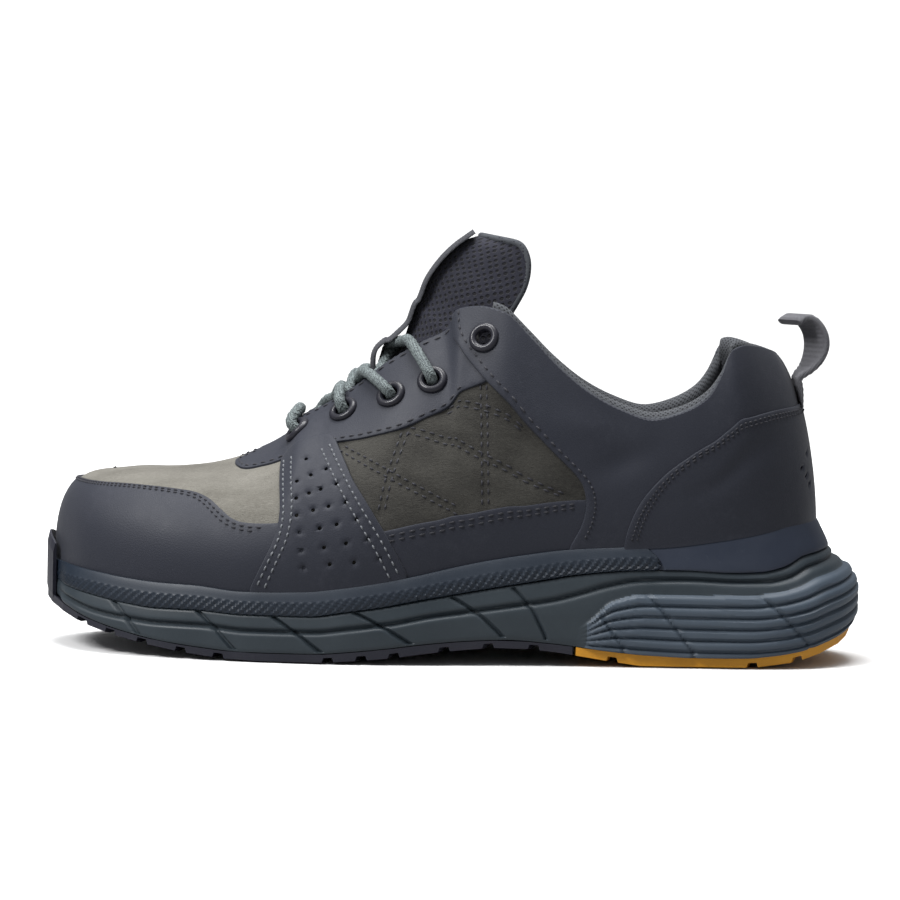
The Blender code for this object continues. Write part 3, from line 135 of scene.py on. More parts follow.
# Heights of the sole's lines along its length, in shares of the height of its side: tread
# face, top of the tread, top of the heel pad, long groove, rim under the upper, foot of the
# upper. The last column is how far the rim has drawn in from the outline toward the upper.
soleLevels = Table(("length", "ground", "tread", "pad", "groove", "rim", "foot", "draw"), (
    (0.00, 0.380, 0.450, 0.46, 0.485, 0.540, 0.650, 0.30),
    (0.03, 0.256, 0.324, 0.34, 0.385, 0.464, 0.620, 0.32),
    (0.07, 0.172, 0.232, 0.27, 0.312, 0.420, 0.592, 0.34),
    (0.11, 0.116, 0.172, 0.23, 0.278, 0.384, 0.564, 0.35),
    (0.15, 0.070, 0.126, 0.20, 0.258, 0.362, 0.546, 0.36),
    (0.20, 0.028, 0.092, 0.18, 0.256, 0.362, 0.538, 0.36),
    (0.26, 0.000, 0.068, 0.15, 0.228, 0.344, 0.508, 0.36),
    (0.34, 0.000, 0.070, 0.16, 0.232, 0.344, 0.520, 0.36),
    (0.38, 0.014, 0.088, 0.17, 0.260, 0.376, 0.546, 0.36),
    (0.43, 0.040, 0.120, 0.21, 0.300, 0.420, 0.590, 0.36),
    (0.48, 0.082, 0.158, 0.25, 0.360, 0.478, 0.648, 0.36),
    (0.53, 0.112, 0.182, 0.27, 0.402, 0.530, 0.716, 0.36),
    (0.57, 0.126, 0.190, 0.26, 0.436, 0.572, 0.764, 0.36),
    (0.63, 0.096, 0.164, 0.20, 0.490, 0.630, 0.820, 0.36),
    (0.66, 0.068, 0.142, 0.30, 0.535, 0.662, 0.844, 0.36),
    (0.70, 0.030, 0.112, 0.49, 0.600, 0.690, 0.864, 0.37),
    (0.74, 0.000, 0.090, 0.54, 0.640, 0.708, 0.876, 0.38),
    (0.80, 0.000, 0.076, 0.54, 0.650, 0.714, 0.896, 0.40),
    (0.86, 0.000, 0.078, 0.54, 0.638, 0.700, 0.946, 0.45),
    (0.90, 0.016, 0.098, 0.56, 0.640, 0.706, 0.986, 0.50),
    (0.93, 0.052, 0.130, 0.60, 0.670, 0.740, 1.020, 0.54),
    (0.96, 0.104, 0.186, 0.67, 0.745, 0.820, 1.060, 0.58),
    (1.00, 0.260, 0.340, 0.75, 0.810, 0.870, 1.090, 0.63)))

# Top edge of the upper over shares of its foot: ridge of the toe as far as the throat, then
# flap, corner, dip and heel of the collar. Shares of its length, height and width.
topline = Table(("foot", "length", "height", "lateral", "medial"), (
    (0.00, 0.078, 0.509, 0.068, 0.068), (0.05, 0.092, 0.512, 0.068, 0.068),
    (0.10, 0.117, 0.517, 0.063, 0.063), (0.15, 0.152, 0.520, 0.058, 0.058),
    (0.20, 0.197, 0.530, 0.049, 0.049), (0.25, 0.246, 0.556, 0.039, 0.039),
    (0.30, 0.300, 0.610, 0.029, 0.029), (0.325, 0.326, 0.671, -0.058, 0.107),
    (0.36, 0.359, 0.714, -0.083, 0.126), (0.40, 0.396, 0.767, -0.107, 0.146),
    (0.44, 0.437, 0.838, -0.126, 0.160), (0.48, 0.483, 0.899, -0.146, 0.175),
    (0.505, 0.511, 0.930, -0.155, 0.184), (0.53, 0.528, 0.989, -0.175, 0.204),
    (0.56, 0.557, 0.999, -0.218, 0.243), (0.59, 0.587, 0.985, -0.267, 0.282),
    (0.62, 0.622, 0.915, -0.296, 0.301), (0.66, 0.660, 0.831, -0.320, 0.320),
    (0.70, 0.699, 0.764, -0.335, 0.335), (0.74, 0.739, 0.719, -0.340, 0.345),
    (0.78, 0.779, 0.693, -0.350, 0.350), (0.82, 0.817, 0.714, -0.350, 0.350),
    (0.86, 0.852, 0.761, -0.340, 0.340), (0.89, 0.870, 0.831, -0.325, 0.325),
    (0.915, 0.881, 0.892, -0.311, 0.311), (0.94, 0.897, 0.905, -0.272, 0.277),
    (0.97, 0.920, 0.898, -0.184, 0.194), (0.99, 0.937, 0.886, -0.097, 0.107),
    (1.00, 0.946, 0.875, 0.005, 0.005)))
throatStart = 0.30
throatMiddle = 0.0015

# Section of the upper over shares of its foot: outward lean and fullness of the wall at its
# foot, downward angle in degrees and fullness at its top.
sections = Table(("foot", "lean", "low", "angle", "high"), (
    (0.00, 0.03, 0.55, 0.0, 0.42), (0.10, 0.05, 0.50, 0.0, 0.45), (0.20, 0.08, 0.45, 3.0, 0.45),
    (0.30, 0.10, 0.42, 12.0, 0.42), (0.36, 0.10, 0.40, 30.0, 0.36), (0.44, 0.10, 0.38, 42.0, 0.33),
    (0.50, 0.08, 0.36, 50.0, 0.33), (0.56, 0.06, 0.33, 62.0, 0.33), (0.62, 0.06, 0.33, 74.0, 0.33),
    (0.70, 0.08, 0.33, 80.0, 0.33), (0.78, 0.10, 0.33, 83.0, 0.33), (0.86, 0.10, 0.33, 80.0, 0.33),
    (0.92, 0.05, 0.33, 68.0, 0.28), (1.00, -0.05, 0.33, 47.0, 0.22)))


def around(share):
    # Angle of a share of a length, zero at the toe and pi at the heel.
    return float(np.arccos(1 - 2 * share))


def smoothStep(value, low, high):
    t = np.clip((value - low) / (high - low), 0, 1)
    return t * t * (3 - 2 * t)


def sideName(side):
    return "lateral" if side < 0 else "medial"


def soleOutline(angle, side):
    x = -soleLength / 2 * np.cos(angle)
    y = solePlan.read(sideName(side), angle) * soleWidth
    return np.stack([x, y], -1)


def footOutline(angle, side):
    length = soleLength - toeInset - heelInset
    x = toeInset - soleLength / 2 + length * (1 - np.cos(angle)) / 2
    y = footPlan.read(sideName(side), angle) * (soleWidth - 2 * sideInset)
    return np.stack([x, y], -1)


def footNormal(angle, side):
    step = 1e-3
    ahead = footOutline(np.clip(angle + step, 0, math.pi), side)
    behind = footOutline(np.clip(angle - step, 0, math.pi), side)
    run = ahead - behind
    run /= np.linalg.norm(run, axis=-1, keepdims=True)
    normal = np.stack([run[..., 1], -run[..., 0]], -1) * -side
    ends = (np.minimum(angle, math.pi - angle) < step)[..., None]
    flat = np.stack([-np.sign(np.cos(angle)), np.zeros_like(angle)], -1)
    return np.where(ends, flat, normal)


def level(name, angle):
    return soleLevels.read(name, angle) * soleSide


def topEdge(angle, side):
    length = soleLength - toeInset - heelInset
    x = toeInset - soleLength / 2 + length * topline.read("length", angle)
    y = topline.read(sideName(side), angle) * (soleWidth - 2 * sideInset)
    z = topline.read("height", angle) * upperHeight
    return np.stack([x, y, z], -1)


def upperSurface(angle, up, side):
    # A point of the upper's outer face, from its foot (up 0) to its top edge (up 1).
    # Below the foot line the wall goes straight down behind the rand to the midsole.
    plan = footOutline(angle, side)
    foot = np.concatenate([plan, level("foot", angle)[..., None]], -1)
    top = topEdge(angle, side)
    normal = footNormal(angle, side)
    inward = plan - top[..., :2]
    inward /= np.linalg.norm(inward, axis=-1, keepdims=True)
    blend = smoothStep(angle, around(0.30), around(0.45))[..., None]
    facing = inward * (1 - blend) + normal * blend
    facing /= np.linalg.norm(facing, axis=-1, keepdims=True)
    chord = np.linalg.norm(top - foot, axis=-1)
    low = (sections.read("low", angle) * chord)[..., None]
    high = (sections.read("high", angle) * chord)[..., None]
    lean = sections.read("lean", angle)[..., None]
    slope = np.radians(sections.read("angle", angle))[..., None]
    rise = np.concatenate([normal * lean, np.ones_like(lean)], -1)
    fall = np.concatenate([facing * np.cos(slope), -np.sin(slope)], -1)
    t = np.clip(up, 0, 1)[..., None]
    point = (foot * (1 - t) ** 3 + 3 * (foot + rise * low) * t * (1 - t) ** 2
             + 3 * (top + fall * high) * t * t * (1 - t) + top * t ** 3)
    drop = np.clip(-up / skirt, 0, 1) * (level("foot", angle) - level("rim", angle) - 3 * gap)
    point[..., 2] -= drop
    return point


def upperNormal(angle, up, side):
    step = 2e-3
    along = (upperSurface(np.clip(angle + step, 0, math.pi), up, side)
             - upperSurface(np.clip(angle - step, 0, math.pi), up, side))
    high = upperSurface(angle, np.clip(up + step, -skirt, 1), side)
    low = upperSurface(angle, np.clip(up - step, -skirt, 1), side)
    normal = np.cross(along, high - low) * -side
    return normal / np.linalg.norm(normal, axis=-1, keepdims=True)


# Height of the tongue over the upper's corner, a little more than the solid's.
tongueStand = 0.0262
tongue = Table(("way", "x", "up", "stand", "half", "drop", "lean", "pad"), (
    (0.00, -0.248, 0.546, 0.00, 0.70, 0.25, 0, 0.28), (0.08, -0.216, 0.570, 0.00, 0.82, 0.34, 0, 0.32),
    (0.16, -0.19, 0.614, 0.00, 0.90, 0.46, 0, 0.45), (0.25, -0.157, 0.679, 0.00, 0.94, 0.60, 0, 0.55),
    (0.34, -0.124, 0.754, 0.00, 0.94, 0.72, 5, 0.65), (0.42, -0.098, 0.807, 0.00, 0.92, 0.80, 12, 0.75),
    (0.49, -0.08, 0.841, 0.00, 0.88, 0.90, 22, 0.85), (0.55, -0.066, 0.872, 0.00, 0.82, 0.98, 32, 0.92),
    (0.61, -0.0575, 0.933, 0.00, 0.76, 1.04, 42, 1.00), (0.70, -0.0465, 1.000, 0.02, 0.69, 1.10, 50, 0.95),
    (0.79, -0.0345, 1.000, 0.35, 0.61, 1.14, 58, 0.90), (0.88, -0.013, 1.000, 0.70, 0.60, 1.10, 66, 0.90),
    (0.95, 0.008, 1.000, 0.91, 0.58, 0.90, 74, 0.75), (1.00, 0.023, 1.000, 1.00, 0.52, 0.62, 80, 0.45)),
    isRound=False)

lining = Table(("foot", "pad"), (
    (0.572, 0.40), (0.595, 0.50), (0.62, 0.62), (0.66, 0.80), (0.70, 0.95), (0.74, 1.00), (0.78, 1.00),
    (0.82, 0.95), (0.855, 0.76), (0.885, 0.58), (0.91, 0.48), (0.935, 0.48), (0.96, 0.58),
    (0.985, 0.75), (1.00, 0.78)))


def insetOutline(outline, inset):
    # Moves each side of a closed outline inward and meets the moved sides at the corners.
    area = np.sum(outline[:, 0] * np.roll(outline[:, 1], -1) - np.roll(outline[:, 0], -1) * outline[:, 1])
    turn = 1 if area > 0 else -1
    moved = []
    for i, corner in enumerate(outline):
        back = corner - outline[i - 1]
        ahead = outline[(i + 1) % len(outline)] - corner
        back, ahead = back / np.linalg.norm(back), ahead / np.linalg.norm(ahead)
        normal = np.array([-(back + ahead)[1], (back + ahead)[0]]) * turn
        normal /= np.linalg.norm(normal)
        cosine = normal @ np.array([-back[1], back[0]]) * turn
        moved.append(corner + normal * inset / max(cosine, 0.4))
    return np.array(moved)


def insideDepth(points, outline):
    # Distance of points inside a closed outline to its edge, negative outside.
    start, end = outline, np.roll(outline, -1, 0)
    run = end - start
    toPoint = points[:, None] - start
    t = np.clip((toPoint * run).sum(-1) / (run * run).sum(-1), 0, 1)
    distance = np.linalg.norm(toPoint - run * t[..., None], axis=-1).min(1)
    crosses = (start[:, 1] > points[:, 1:2]) != (end[:, 1] > points[:, 1:2])
    rise = np.where(run[:, 1] == 0, 1, run[:, 1])
    x = start[:, 0] + (points[:, 1:2] - start[:, 1]) * run[:, 0] / rise
    inside = (crosses & (points[:, 0:1] < x)).sum(1) % 2 == 1
    return np.where(inside, distance, -distance)


def sharedPoints(flat):
    small = 1e-6
    ends = (flat[:, 0] < small) | (flat[:, 0] > flatRound - small)
    ridge = (flat[:, 1] > flatUp - small) & (flat[:, 0] < throatPlace() + small)
    return ends | ridge


def throatPlace():
    return around(throatStart) / math.pi * flatRound


def closedEdges(start, count):
    return [(start + i, start + (i + 1) % count) for i in range(count)]


def eyeletPlace(place, side):
    # Centre of an eyelet on the bare wall, its outward normal, and the two slopes of the
    # wall there, over flat metres round and up.
    flat = np.array([[place[0] * flatRound, place[1] * flatUp]])
    step = 1e-3
    centre = wallPoint(flat, side, np.zeros(1))[0]
    normal = upperNormal(flat[:, 0] / flatRound * math.pi, flat[:, 1] / flatUp, side)[0]
    along = (wallPoint(flat + (step, 0), side, np.zeros(1))[0] - centre) / step
    rise = (centre - wallPoint(flat - (0, step), side, np.zeros(1))[0]) / step
    return centre, normal, along, rise, float(overlayHeight(flat)[0])


def tonguePlace(way, across):
    # A point of the tongue's face and its outward normal, across from -1 to 1.
    read = {name: float(tongue.read(name, np.array([way]))[0]) for name in tongue.columns}
    half = read["half"] * tongueWidth / 2
    drop = read["drop"] * tongueWidth / 2
    lean = math.radians(read["lean"])
    down = np.array([math.sin(lean), 0, -math.cos(lean)])
    power = 1.6 + 0.6 * read["lean"] / 80
    z = read["up"] * upperHeight + read["stand"] * tongueStand
    centre = np.array([read["x"] * soleLength, throatMiddle, z])
    side = math.copysign(1, across)
    point = centre + np.array([0, half * across, 0]) + down * drop * abs(across) ** power
    slope = drop * power * abs(across) ** (power - 1) * side
    normal = -down * half + np.array([0, slope, 0])
    return point, normal / np.linalg.norm(normal), read["pad"] * tonguePad


def laceSeat(x, y, lift):
    # A point over the tongue's face, at a place of the throat.
    ways = np.linspace(0, 1, 101)
    way = float(np.interp(x, tongue.read("x", ways) * soleLength, ways))
    half = tongue.read("half", np.array([way]))[0] * tongueWidth / 2
    point, normal, pad = tonguePlace(way, (y - throatMiddle) / half)
    return point + normal * (laceDiameter / 2 + lift)


# Materials

def newMaterial(name, settings):
    made = bpy.data.materials.new(name)
    made.use_nodes = True
    shader = made.node_tree.nodes["Principled BSDF"]
    for key, value in settings.items():
        shader.inputs[key].default_value = (*value, 1.0) if isinstance(value, tuple) else value
    made.diffuse_color = (*settings.get("Base Color", (0.5, 0.5, 0.5)), 1.0)
    return made, shader


def newGroup(name, inputs, outputs):
    group = bpy.data.node_groups.new(name, "ShaderNodeTree")
    for label, kind, value in inputs:
        socket = group.interface.new_socket(label, in_out="INPUT", socket_type=kind)
        socket.default_value = value
    for label, kind in outputs:
        group.interface.new_socket(label, in_out="OUTPUT", socket_type=kind)
    start = group.nodes.new("NodeGroupInput")
    end = group.nodes.new("NodeGroupOutput")
    return group, start, end


def noiseNode(tree, place, scale, detail, rough=0.5):
    noise = tree.nodes.new("ShaderNodeTexNoise")
    noise.inputs["Scale"].default_value = scale
    noise.inputs["Detail"].default_value = detail
    noise.inputs["Roughness"].default_value = rough
    tree.links.new(place, noise.inputs["Vector"])
    return noise


def mathNode(tree, operation, first, second):
    node = tree.nodes.new("ShaderNodeMath")
    node.operation = operation
    for i, value in enumerate((first, second)):
        if isinstance(value, (int, float)):
            node.inputs[i].default_value = value
        else:
            tree.links.new(value, node.inputs[i])
    return node.outputs[0]


def mixColour(tree, share, first, second):
    node = tree.nodes.new("ShaderNodeMix")
    node.data_type = "RGBA"
    for socket, value in ((node.inputs[0], share), (node.inputs[6], first), (node.inputs[7], second)):
        if isinstance(value, tuple):
            socket.default_value = value
        elif isinstance(value, (int, float)):
            socket.default_value = value
        else:
            tree.links.new(value, socket)
    return node.outputs[2]


def spread(tree, value, low, high, toLow=0.0, toHigh=1.0):
    node = tree.nodes.new("ShaderNodeMapRange")
    tree.links.new(value, node.inputs["Value"])
    for label, number in (("From Min", low), ("From Max", high), ("To Min", toLow), ("To Max", toHigh)):
        node.inputs[label].default_value = number
    return node.outputs[0]


def grainGroup():
    # Fine pebbled grain with broad uneven tone and faint rubbed scuffs.
    group, start, end = newGroup("leatherGrain", (
        ("Vector", "NodeSocketVector", (0, 0, 0)), ("Colour", "NodeSocketColor", (0.1, 0.1, 0.1, 1)),
        ("Worn", "NodeSocketColor", (0.2, 0.2, 0.2, 1)), ("Size", "NodeSocketFloat", 1.0)),
        (("Colour", "NodeSocketColor"), ("Height", "NodeSocketFloat"), ("Roughness", "NodeSocketFloat")))
    scaled = group.nodes.new("ShaderNodeVectorMath")
    scaled.operation = "SCALE"
    group.links.new(start.outputs["Vector"], scaled.inputs[0])
    group.links.new(start.outputs["Size"], scaled.inputs["Scale"])
    place = scaled.outputs[0]
    cells = group.nodes.new("ShaderNodeTexVoronoi")
    cells.feature = "DISTANCE_TO_EDGE"
    cells.inputs["Scale"].default_value = 1100
    group.links.new(place, cells.inputs["Vector"])
    pebble = spread(group, cells.outputs["Distance"], 0.0, 0.25)
    fine = noiseNode(group, place, 2600, 3).outputs["Fac"]
    pebbled = mathNode(group, "MULTIPLY", pebble, 0.6)
    height = mathNode(group, "ADD", pebbled, mathNode(group, "MULTIPLY", fine, 0.6))
    broad = noiseNode(group, place, 34, 4, 0.6).outputs["Fac"]
    scuff = noiseNode(group, place, 240, 6, 0.75).outputs["Fac"]
    worn = mathNode(group, "MULTIPLY", spread(group, broad, 0.45, 0.75), spread(group, scuff, 0.48, 0.70))
    grit = spread(group, fine, 0.35, 0.7, 0.0, 0.16)
    tone = mathNode(group, "ADD", mathNode(group, "MULTIPLY", worn, 0.42), grit)
    colour = mixColour(group, tone, start.outputs["Colour"], start.outputs["Worn"])
    group.links.new(colour, end.inputs["Colour"])
    group.links.new(height, end.inputs["Height"])
    group.links.new(spread(group, broad, 0.3, 0.7, 0.50, 0.64), end.inputs["Roughness"])
    return group


def napGroup():
    # Short brushed nap: light and dark patches, fine fibres and specks.
    group, start, end = newGroup("suedeNap", (
        ("Vector", "NodeSocketVector", (0, 0, 0)), ("Colour", "NodeSocketColor", (0.3, 0.27, 0.2, 1)),
        ("Dark", "NodeSocketColor", (0.1, 0.09, 0.07, 1))),
        (("Colour", "NodeSocketColor"), ("Height", "NodeSocketFloat")))
    place = start.outputs["Vector"]
    stretched = group.nodes.new("ShaderNodeMapping")
    stretched.inputs["Scale"].default_value = (0.45, 1.0, 1.3)
    stretched.inputs["Rotation"].default_value = (0.0, 0.5, 0.0)
    group.links.new(place, stretched.inputs["Vector"])
    fibre = noiseNode(group, stretched.outputs[0], 1500, 4, 0.7).outputs["Fac"]
    speck = noiseNode(group, place, 3800, 2, 0.6).outputs["Fac"]
    brushed = noiseNode(group, stretched.outputs[0], 70, 4, 0.6).outputs["Fac"]
    broad = noiseNode(group, place, 22, 2).outputs["Fac"]
    strands = spread(group, fibre, 0.32, 0.68, 0.0, 0.34)
    tone = mathNode(group, "ADD", strands, spread(group, brushed, 0.35, 0.65, 0.0, 0.34))
    tone = mathNode(group, "ADD", tone, spread(group, speck, 0.42, 0.75, 0.0, 0.30))
    tone = mathNode(group, "ADD", tone, spread(group, broad, 0.35, 0.65, -0.08, 0.14))
    colour = mixColour(group, tone, start.outputs["Dark"], start.outputs["Colour"])
    height = mathNode(group, "ADD", fibre, mathNode(group, "MULTIPLY", speck, 0.7))
    group.links.new(colour, end.inputs["Colour"])
    group.links.new(height, end.inputs["Height"])
    return group


def knitGroup():
    # Knitted mesh: round dark eyes in staggered rows over a ribbed ground.
    group, start, end = newGroup("knitMesh", (
        ("Vector", "NodeSocketVector", (0, 0, 0)), ("Colour", "NodeSocketColor", (0.1, 0.1, 0.12, 1)),
        ("Eye", "NodeSocketColor", (0.01, 0.01, 0.015, 1)), ("Scale", "NodeSocketFloat", 420.0)),
        (("Colour", "NodeSocketColor"), ("Height", "NodeSocketFloat")))
    cells = group.nodes.new("ShaderNodeTexVoronoi")
    cells.inputs["Randomness"].default_value = 0.18
    turned = group.nodes.new("ShaderNodeVectorRotate")
    turned.rotation_type = "Z_AXIS"
    turned.inputs["Angle"].default_value = math.radians(45)
    group.links.new(start.outputs["Vector"], turned.inputs["Vector"])
    group.links.new(turned.outputs["Vector"], cells.inputs["Vector"])
    group.links.new(start.outputs["Scale"], cells.inputs["Scale"])
    eye = spread(group, cells.outputs["Distance"], 0.24, 0.36)
    yarn = noiseNode(group, start.outputs["Vector"], 3000, 3, 0.7).outputs["Fac"]
    broad = noiseNode(group, start.outputs["Vector"], 60, 3).outputs["Fac"]
    dark = start.outputs["Eye"]
    lit = mixColour(group, spread(group, yarn, 0.3, 0.7, 0.0, 0.55), start.outputs["Colour"], dark)
    lit = mixColour(group, spread(group, broad, 0.3, 0.7, 0.0, 0.25), lit, dark)
    group.links.new(mixColour(group, eye, dark, lit), end.inputs["Colour"])
    height = mathNode(group, "ADD", eye, mathNode(group, "MULTIPLY", yarn, 0.35))
    group.links.new(height, end.inputs["Height"])
    return group


def mouldGroup():
    # Moulded rubber or foam: fine spark texture, dusty tone in broad patches and small marks.
    group, start, end = newGroup("mouldedTone", (
        ("Vector", "NodeSocketVector", (0, 0, 0)), ("Colour", "NodeSocketColor", (0.1, 0.1, 0.1, 1)),
        ("Dust", "NodeSocketColor", (0.3, 0.3, 0.3, 1)), ("Amount", "NodeSocketFloat", 0.3)),
        (("Colour", "NodeSocketColor"), ("Height", "NodeSocketFloat"), ("Roughness", "NodeSocketFloat")))
    place = start.outputs["Vector"]
    fine = noiseNode(group, place, 1900, 4, 0.6).outputs["Fac"]
    broad = noiseNode(group, place, 28, 5, 0.65).outputs["Fac"]
    marks = noiseNode(group, place, 420, 3, 0.8).outputs["Fac"]
    patches = spread(group, broad, 0.38, 0.72)
    dust = mathNode(group, "ADD", patches, spread(group, marks, 0.6, 0.78, 0.0, 0.7))
    dust = mathNode(group, "MULTIPLY", dust, start.outputs["Amount"])
    colour = mixColour(group, dust, start.outputs["Colour"], start.outputs["Dust"])
    group.links.new(colour, end.inputs["Colour"])
    group.links.new(fine, end.inputs["Height"])
    group.links.new(spread(group, broad, 0.3, 0.7, 0.42, 0.60), end.inputs["Roughness"])
    return group


def weaveGroup():
    # Woven band or braid: crossed ribs with yarn flecks, and painted shade in the hollows between the ribs.
    group, start, end = newGroup("wovenYarn", (
        ("Vector", "NodeSocketVector", (0, 0, 0)), ("Colour", "NodeSocketColor", (0.1, 0.1, 0.1, 1)),
        ("Fleck", "NodeSocketColor", (0.3, 0.3, 0.3, 1)), ("Amount", "NodeSocketFloat", 0.4),
        ("Scale", "NodeSocketFloat", 900.0)),
        (("Colour", "NodeSocketColor"), ("Height", "NodeSocketFloat")))
    place = start.outputs["Vector"]
    ribs = []
    for turn in (0.8, -0.8):
        turned = group.nodes.new("ShaderNodeMapping")
        turned.inputs["Rotation"].default_value = (0.3, turn, 0.6)
        group.links.new(place, turned.inputs["Vector"])
        wave = group.nodes.new("ShaderNodeTexWave")
        wave.inputs["Distortion"].default_value = 1.2
        wave.inputs["Detail Scale"].default_value = 2.0
        group.links.new(turned.outputs[0], wave.inputs["Vector"])
        group.links.new(start.outputs["Scale"], wave.inputs["Scale"])
        ribs.append(wave.outputs["Fac"])
    height = mathNode(group, "MAXIMUM", ribs[0], ribs[1])
    fleck = noiseNode(group, place, 1500, 3, 0.8).outputs["Fac"]
    share = mathNode(group, "MULTIPLY", spread(group, fleck, 0.42, 0.62), start.outputs["Amount"])
    colour = mixColour(group, share, start.outputs["Colour"], start.outputs["Fleck"])
    # Painted shade: the colour goes toward black where the ribs are low.
    shade = mixColour(group, spread(group, height, 0.2, 0.9, 0.55, 0.0), colour, (0.0, 0.0, 0.0, 1.0))
    group.links.new(shade, end.inputs["Colour"])
    group.links.new(height, end.inputs["Height"])
    return group


groups = {"grain": grainGroup(), "nap": napGroup(), "knit": knitGroup(), "mould": mouldGroup(),
          "weave": weaveGroup()}


def surfaced(name, group, values, bump, settings, source="Object"):
    # A material whose colour, gloss and bump come from one of the effect groups.
    # The plain colour is what the viewport shows.
    made, shader = newMaterial(name, {"Base Color": values["Colour"], **settings})
    tree = made.node_tree
    place = tree.nodes.new("ShaderNodeTexCoord")
    effect = tree.nodes.new("ShaderNodeGroup")
    effect.node_tree = groups[group]
    tree.links.new(place.outputs[source], effect.inputs["Vector"])
    for key, value in values.items():
        effect.inputs[key].default_value = (*value, 1.0) if isinstance(value, tuple) else value
    tree.links.new(effect.outputs["Colour"], shader.inputs["Base Color"])
    if "Roughness" in effect.outputs:
        tree.links.new(effect.outputs["Roughness"], shader.inputs["Roughness"])
    strength, distance = bump
    raised = tree.nodes.new("ShaderNodeBump")
    raised.inputs["Strength"].default_value = strength
    raised.inputs["Distance"].default_value = distance
    tree.links.new(effect.outputs["Height"], raised.inputs["Height"])
    tree.links.new(raised.outputs["Normal"], shader.inputs["Normal"])
    return made


def moulded(name, colour, dust, amount, bump, settings):
    return surfaced(name, "mould", {"Colour": colour, "Dust": dust, "Amount": amount}, bump, settings)


def woven(name, colour, fleck, amount, scale, bump, roughness, plain=None):
    values = {"Colour": colour, "Fleck": fleck, "Amount": amount, "Scale": scale}
    return surfaced(name, "weave", values, bump, {"Base Color": plain or colour, "Roughness": roughness})


def suede(name, colour, dark, sheen):
    return surfaced(name, "nap", {"Colour": colour, "Dark": dark}, (0.75, 0.0004),
                    {"Roughness": 0.95, "Specular IOR Level": 0.15, "Sheen Weight": sheen,
                     "Sheen Roughness": 0.6})


def knitted(name, look, bump, settings, source="Object"):
    values = {"Colour": look["colour"], "Eye": look["eye"], "Scale": look["knit"]}
    return surfaced(name, "knit", values, bump, {"Base Color": look["plain"], **settings}, source)


print("effects made")

# Building blocks

def buildMesh(name, points, faces, surfaces, smoothAngle=45.0, slots=None):
    mesh = bpy.data.meshes.new(name)
    mesh.from_pydata([tuple(map(float, p)) for p in points], [], [tuple(map(int, f)) for f in faces])
    for surface in surfaces:
        mesh.materials.append(surface)
    if slots is not None:
        mesh.polygons.foreach_set("material_index", list(map(int, slots)))
    mesh.shade_smooth()
    mesh.set_sharp_from_angle(angle=math.radians(smoothAngle))
    made = bpy.data.objects.new(name, mesh)
    bpy.context.collection.objects.link(made)
    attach(made, "root")
    return made


def orient(made):
    # Turns the faces of a closed piece outward.
    shape = bmesh.new()
    shape.from_mesh(made.data)
    bmesh.ops.recalc_face_normals(shape, faces=shape.faces)
    shape.to_mesh(made.data)
    shape.free()
    return made


def tubeGrid(rings, isClosed=True, capped=True, isLoop=False):
    # Points and faces of rings of points that are joined one to the next.
    rings = np.asarray(rings)
    count, size = rings.shape[:2]
    points, faces = list(rings.reshape(-1, 3)), []
    for i in range(count if isLoop else count - 1):
        j = (i + 1) % count
        for k in range(size if isClosed else size - 1):
            m = (k + 1) % size
            faces.append((i * size + k, i * size + m, j * size + m, j * size + k))
    if capped and not isLoop:
        for i in (0, count - 1):
            points.append(rings[i].mean(0))
            for k in range(size):
                faces.append((i * size + k, i * size + (k + 1) % size, len(points) - 1))
    return points, faces


def addTube(points, faces, rings, isLoop=False):
    base = len(points)
    made, joined = tubeGrid(rings, isLoop=isLoop)
    points += made
    faces += [tuple(base + i for i in f) for f in joined]


def easePath(path, times=2):
    # Cuts the corners of a path, with its ends kept.
    points = np.array(path, float)
    for i in range(times):
        eased = [points[0]]
        for start, end in zip(points[:-1], points[1:]):
            eased += [start * 0.75 + end * 0.25, start * 0.25 + end * 0.75]
        points = np.array(eased + [points[-1]])
    return points


def walkedAlong(path):
    # Length walked along a path at each of its points.
    return np.concatenate([[0], np.cumsum(np.linalg.norm(np.diff(path, axis=0), axis=1))])


def relax(values, times):
    # Evens out a row of values, with its ends kept.
    for i in range(times):
        values[1:-1] = values[1:-1] * 0.5 + (values[:-2] + values[2:]) * 0.25
    return values


def smoothPath(points, step, passes=6):
    # Even steps along given points, with the corners eased and the ends kept.
    points = easePath(points)
    lengths = walkedAlong(points)
    count = max(4, int(lengths[-1] / step))
    at = np.linspace(0, lengths[-1], count)
    path = np.stack([np.interp(at, lengths, points[:, i]) for i in range(3)], -1)
    return relax(path, passes)


def frames(path):
    # Directions along a path and across it, turned as little as possible.
    run = np.gradient(path, axis=0)
    run /= np.linalg.norm(run, axis=1, keepdims=True)
    side = np.cross(run[0], (0.3, 0.2, 1.0))
    sides = []
    for along in run:
        side = side - along * (side @ along)
        side = side / np.linalg.norm(side)
        sides.append(side)
    sides = np.array(sides)
    return run, sides, np.cross(run, sides)


def pipe(name, path, radius, surface):
    # A thin round cord along a path.
    run, sides, others = frames(path)
    turns = np.arange(10) * 2 * math.pi / 10
    tube = [[p + radius * (a * math.cos(t) + b * math.sin(t)) for t in turns]
            for p, a, b in zip(path, sides, others)]
    points, faces = tubeGrid(tube)
    return orient(buildMesh(name, points, faces, [surface], 80.0))


def creaseHeight(flat):
    total = np.zeros(len(flat))
    for x, y, turn, long, wide, rise in creases:
        angle = math.radians(turn)
        dx, dy = flat[:, 0] - x * flatRound, flat[:, 1] - y * flatUp
        along = dx * math.cos(angle) + dy * math.sin(angle)
        across = dy * math.cos(angle) - dx * math.sin(angle)
        total += rise * np.exp(-(along / long) ** 2 - (across / wide) ** 2)
    return total


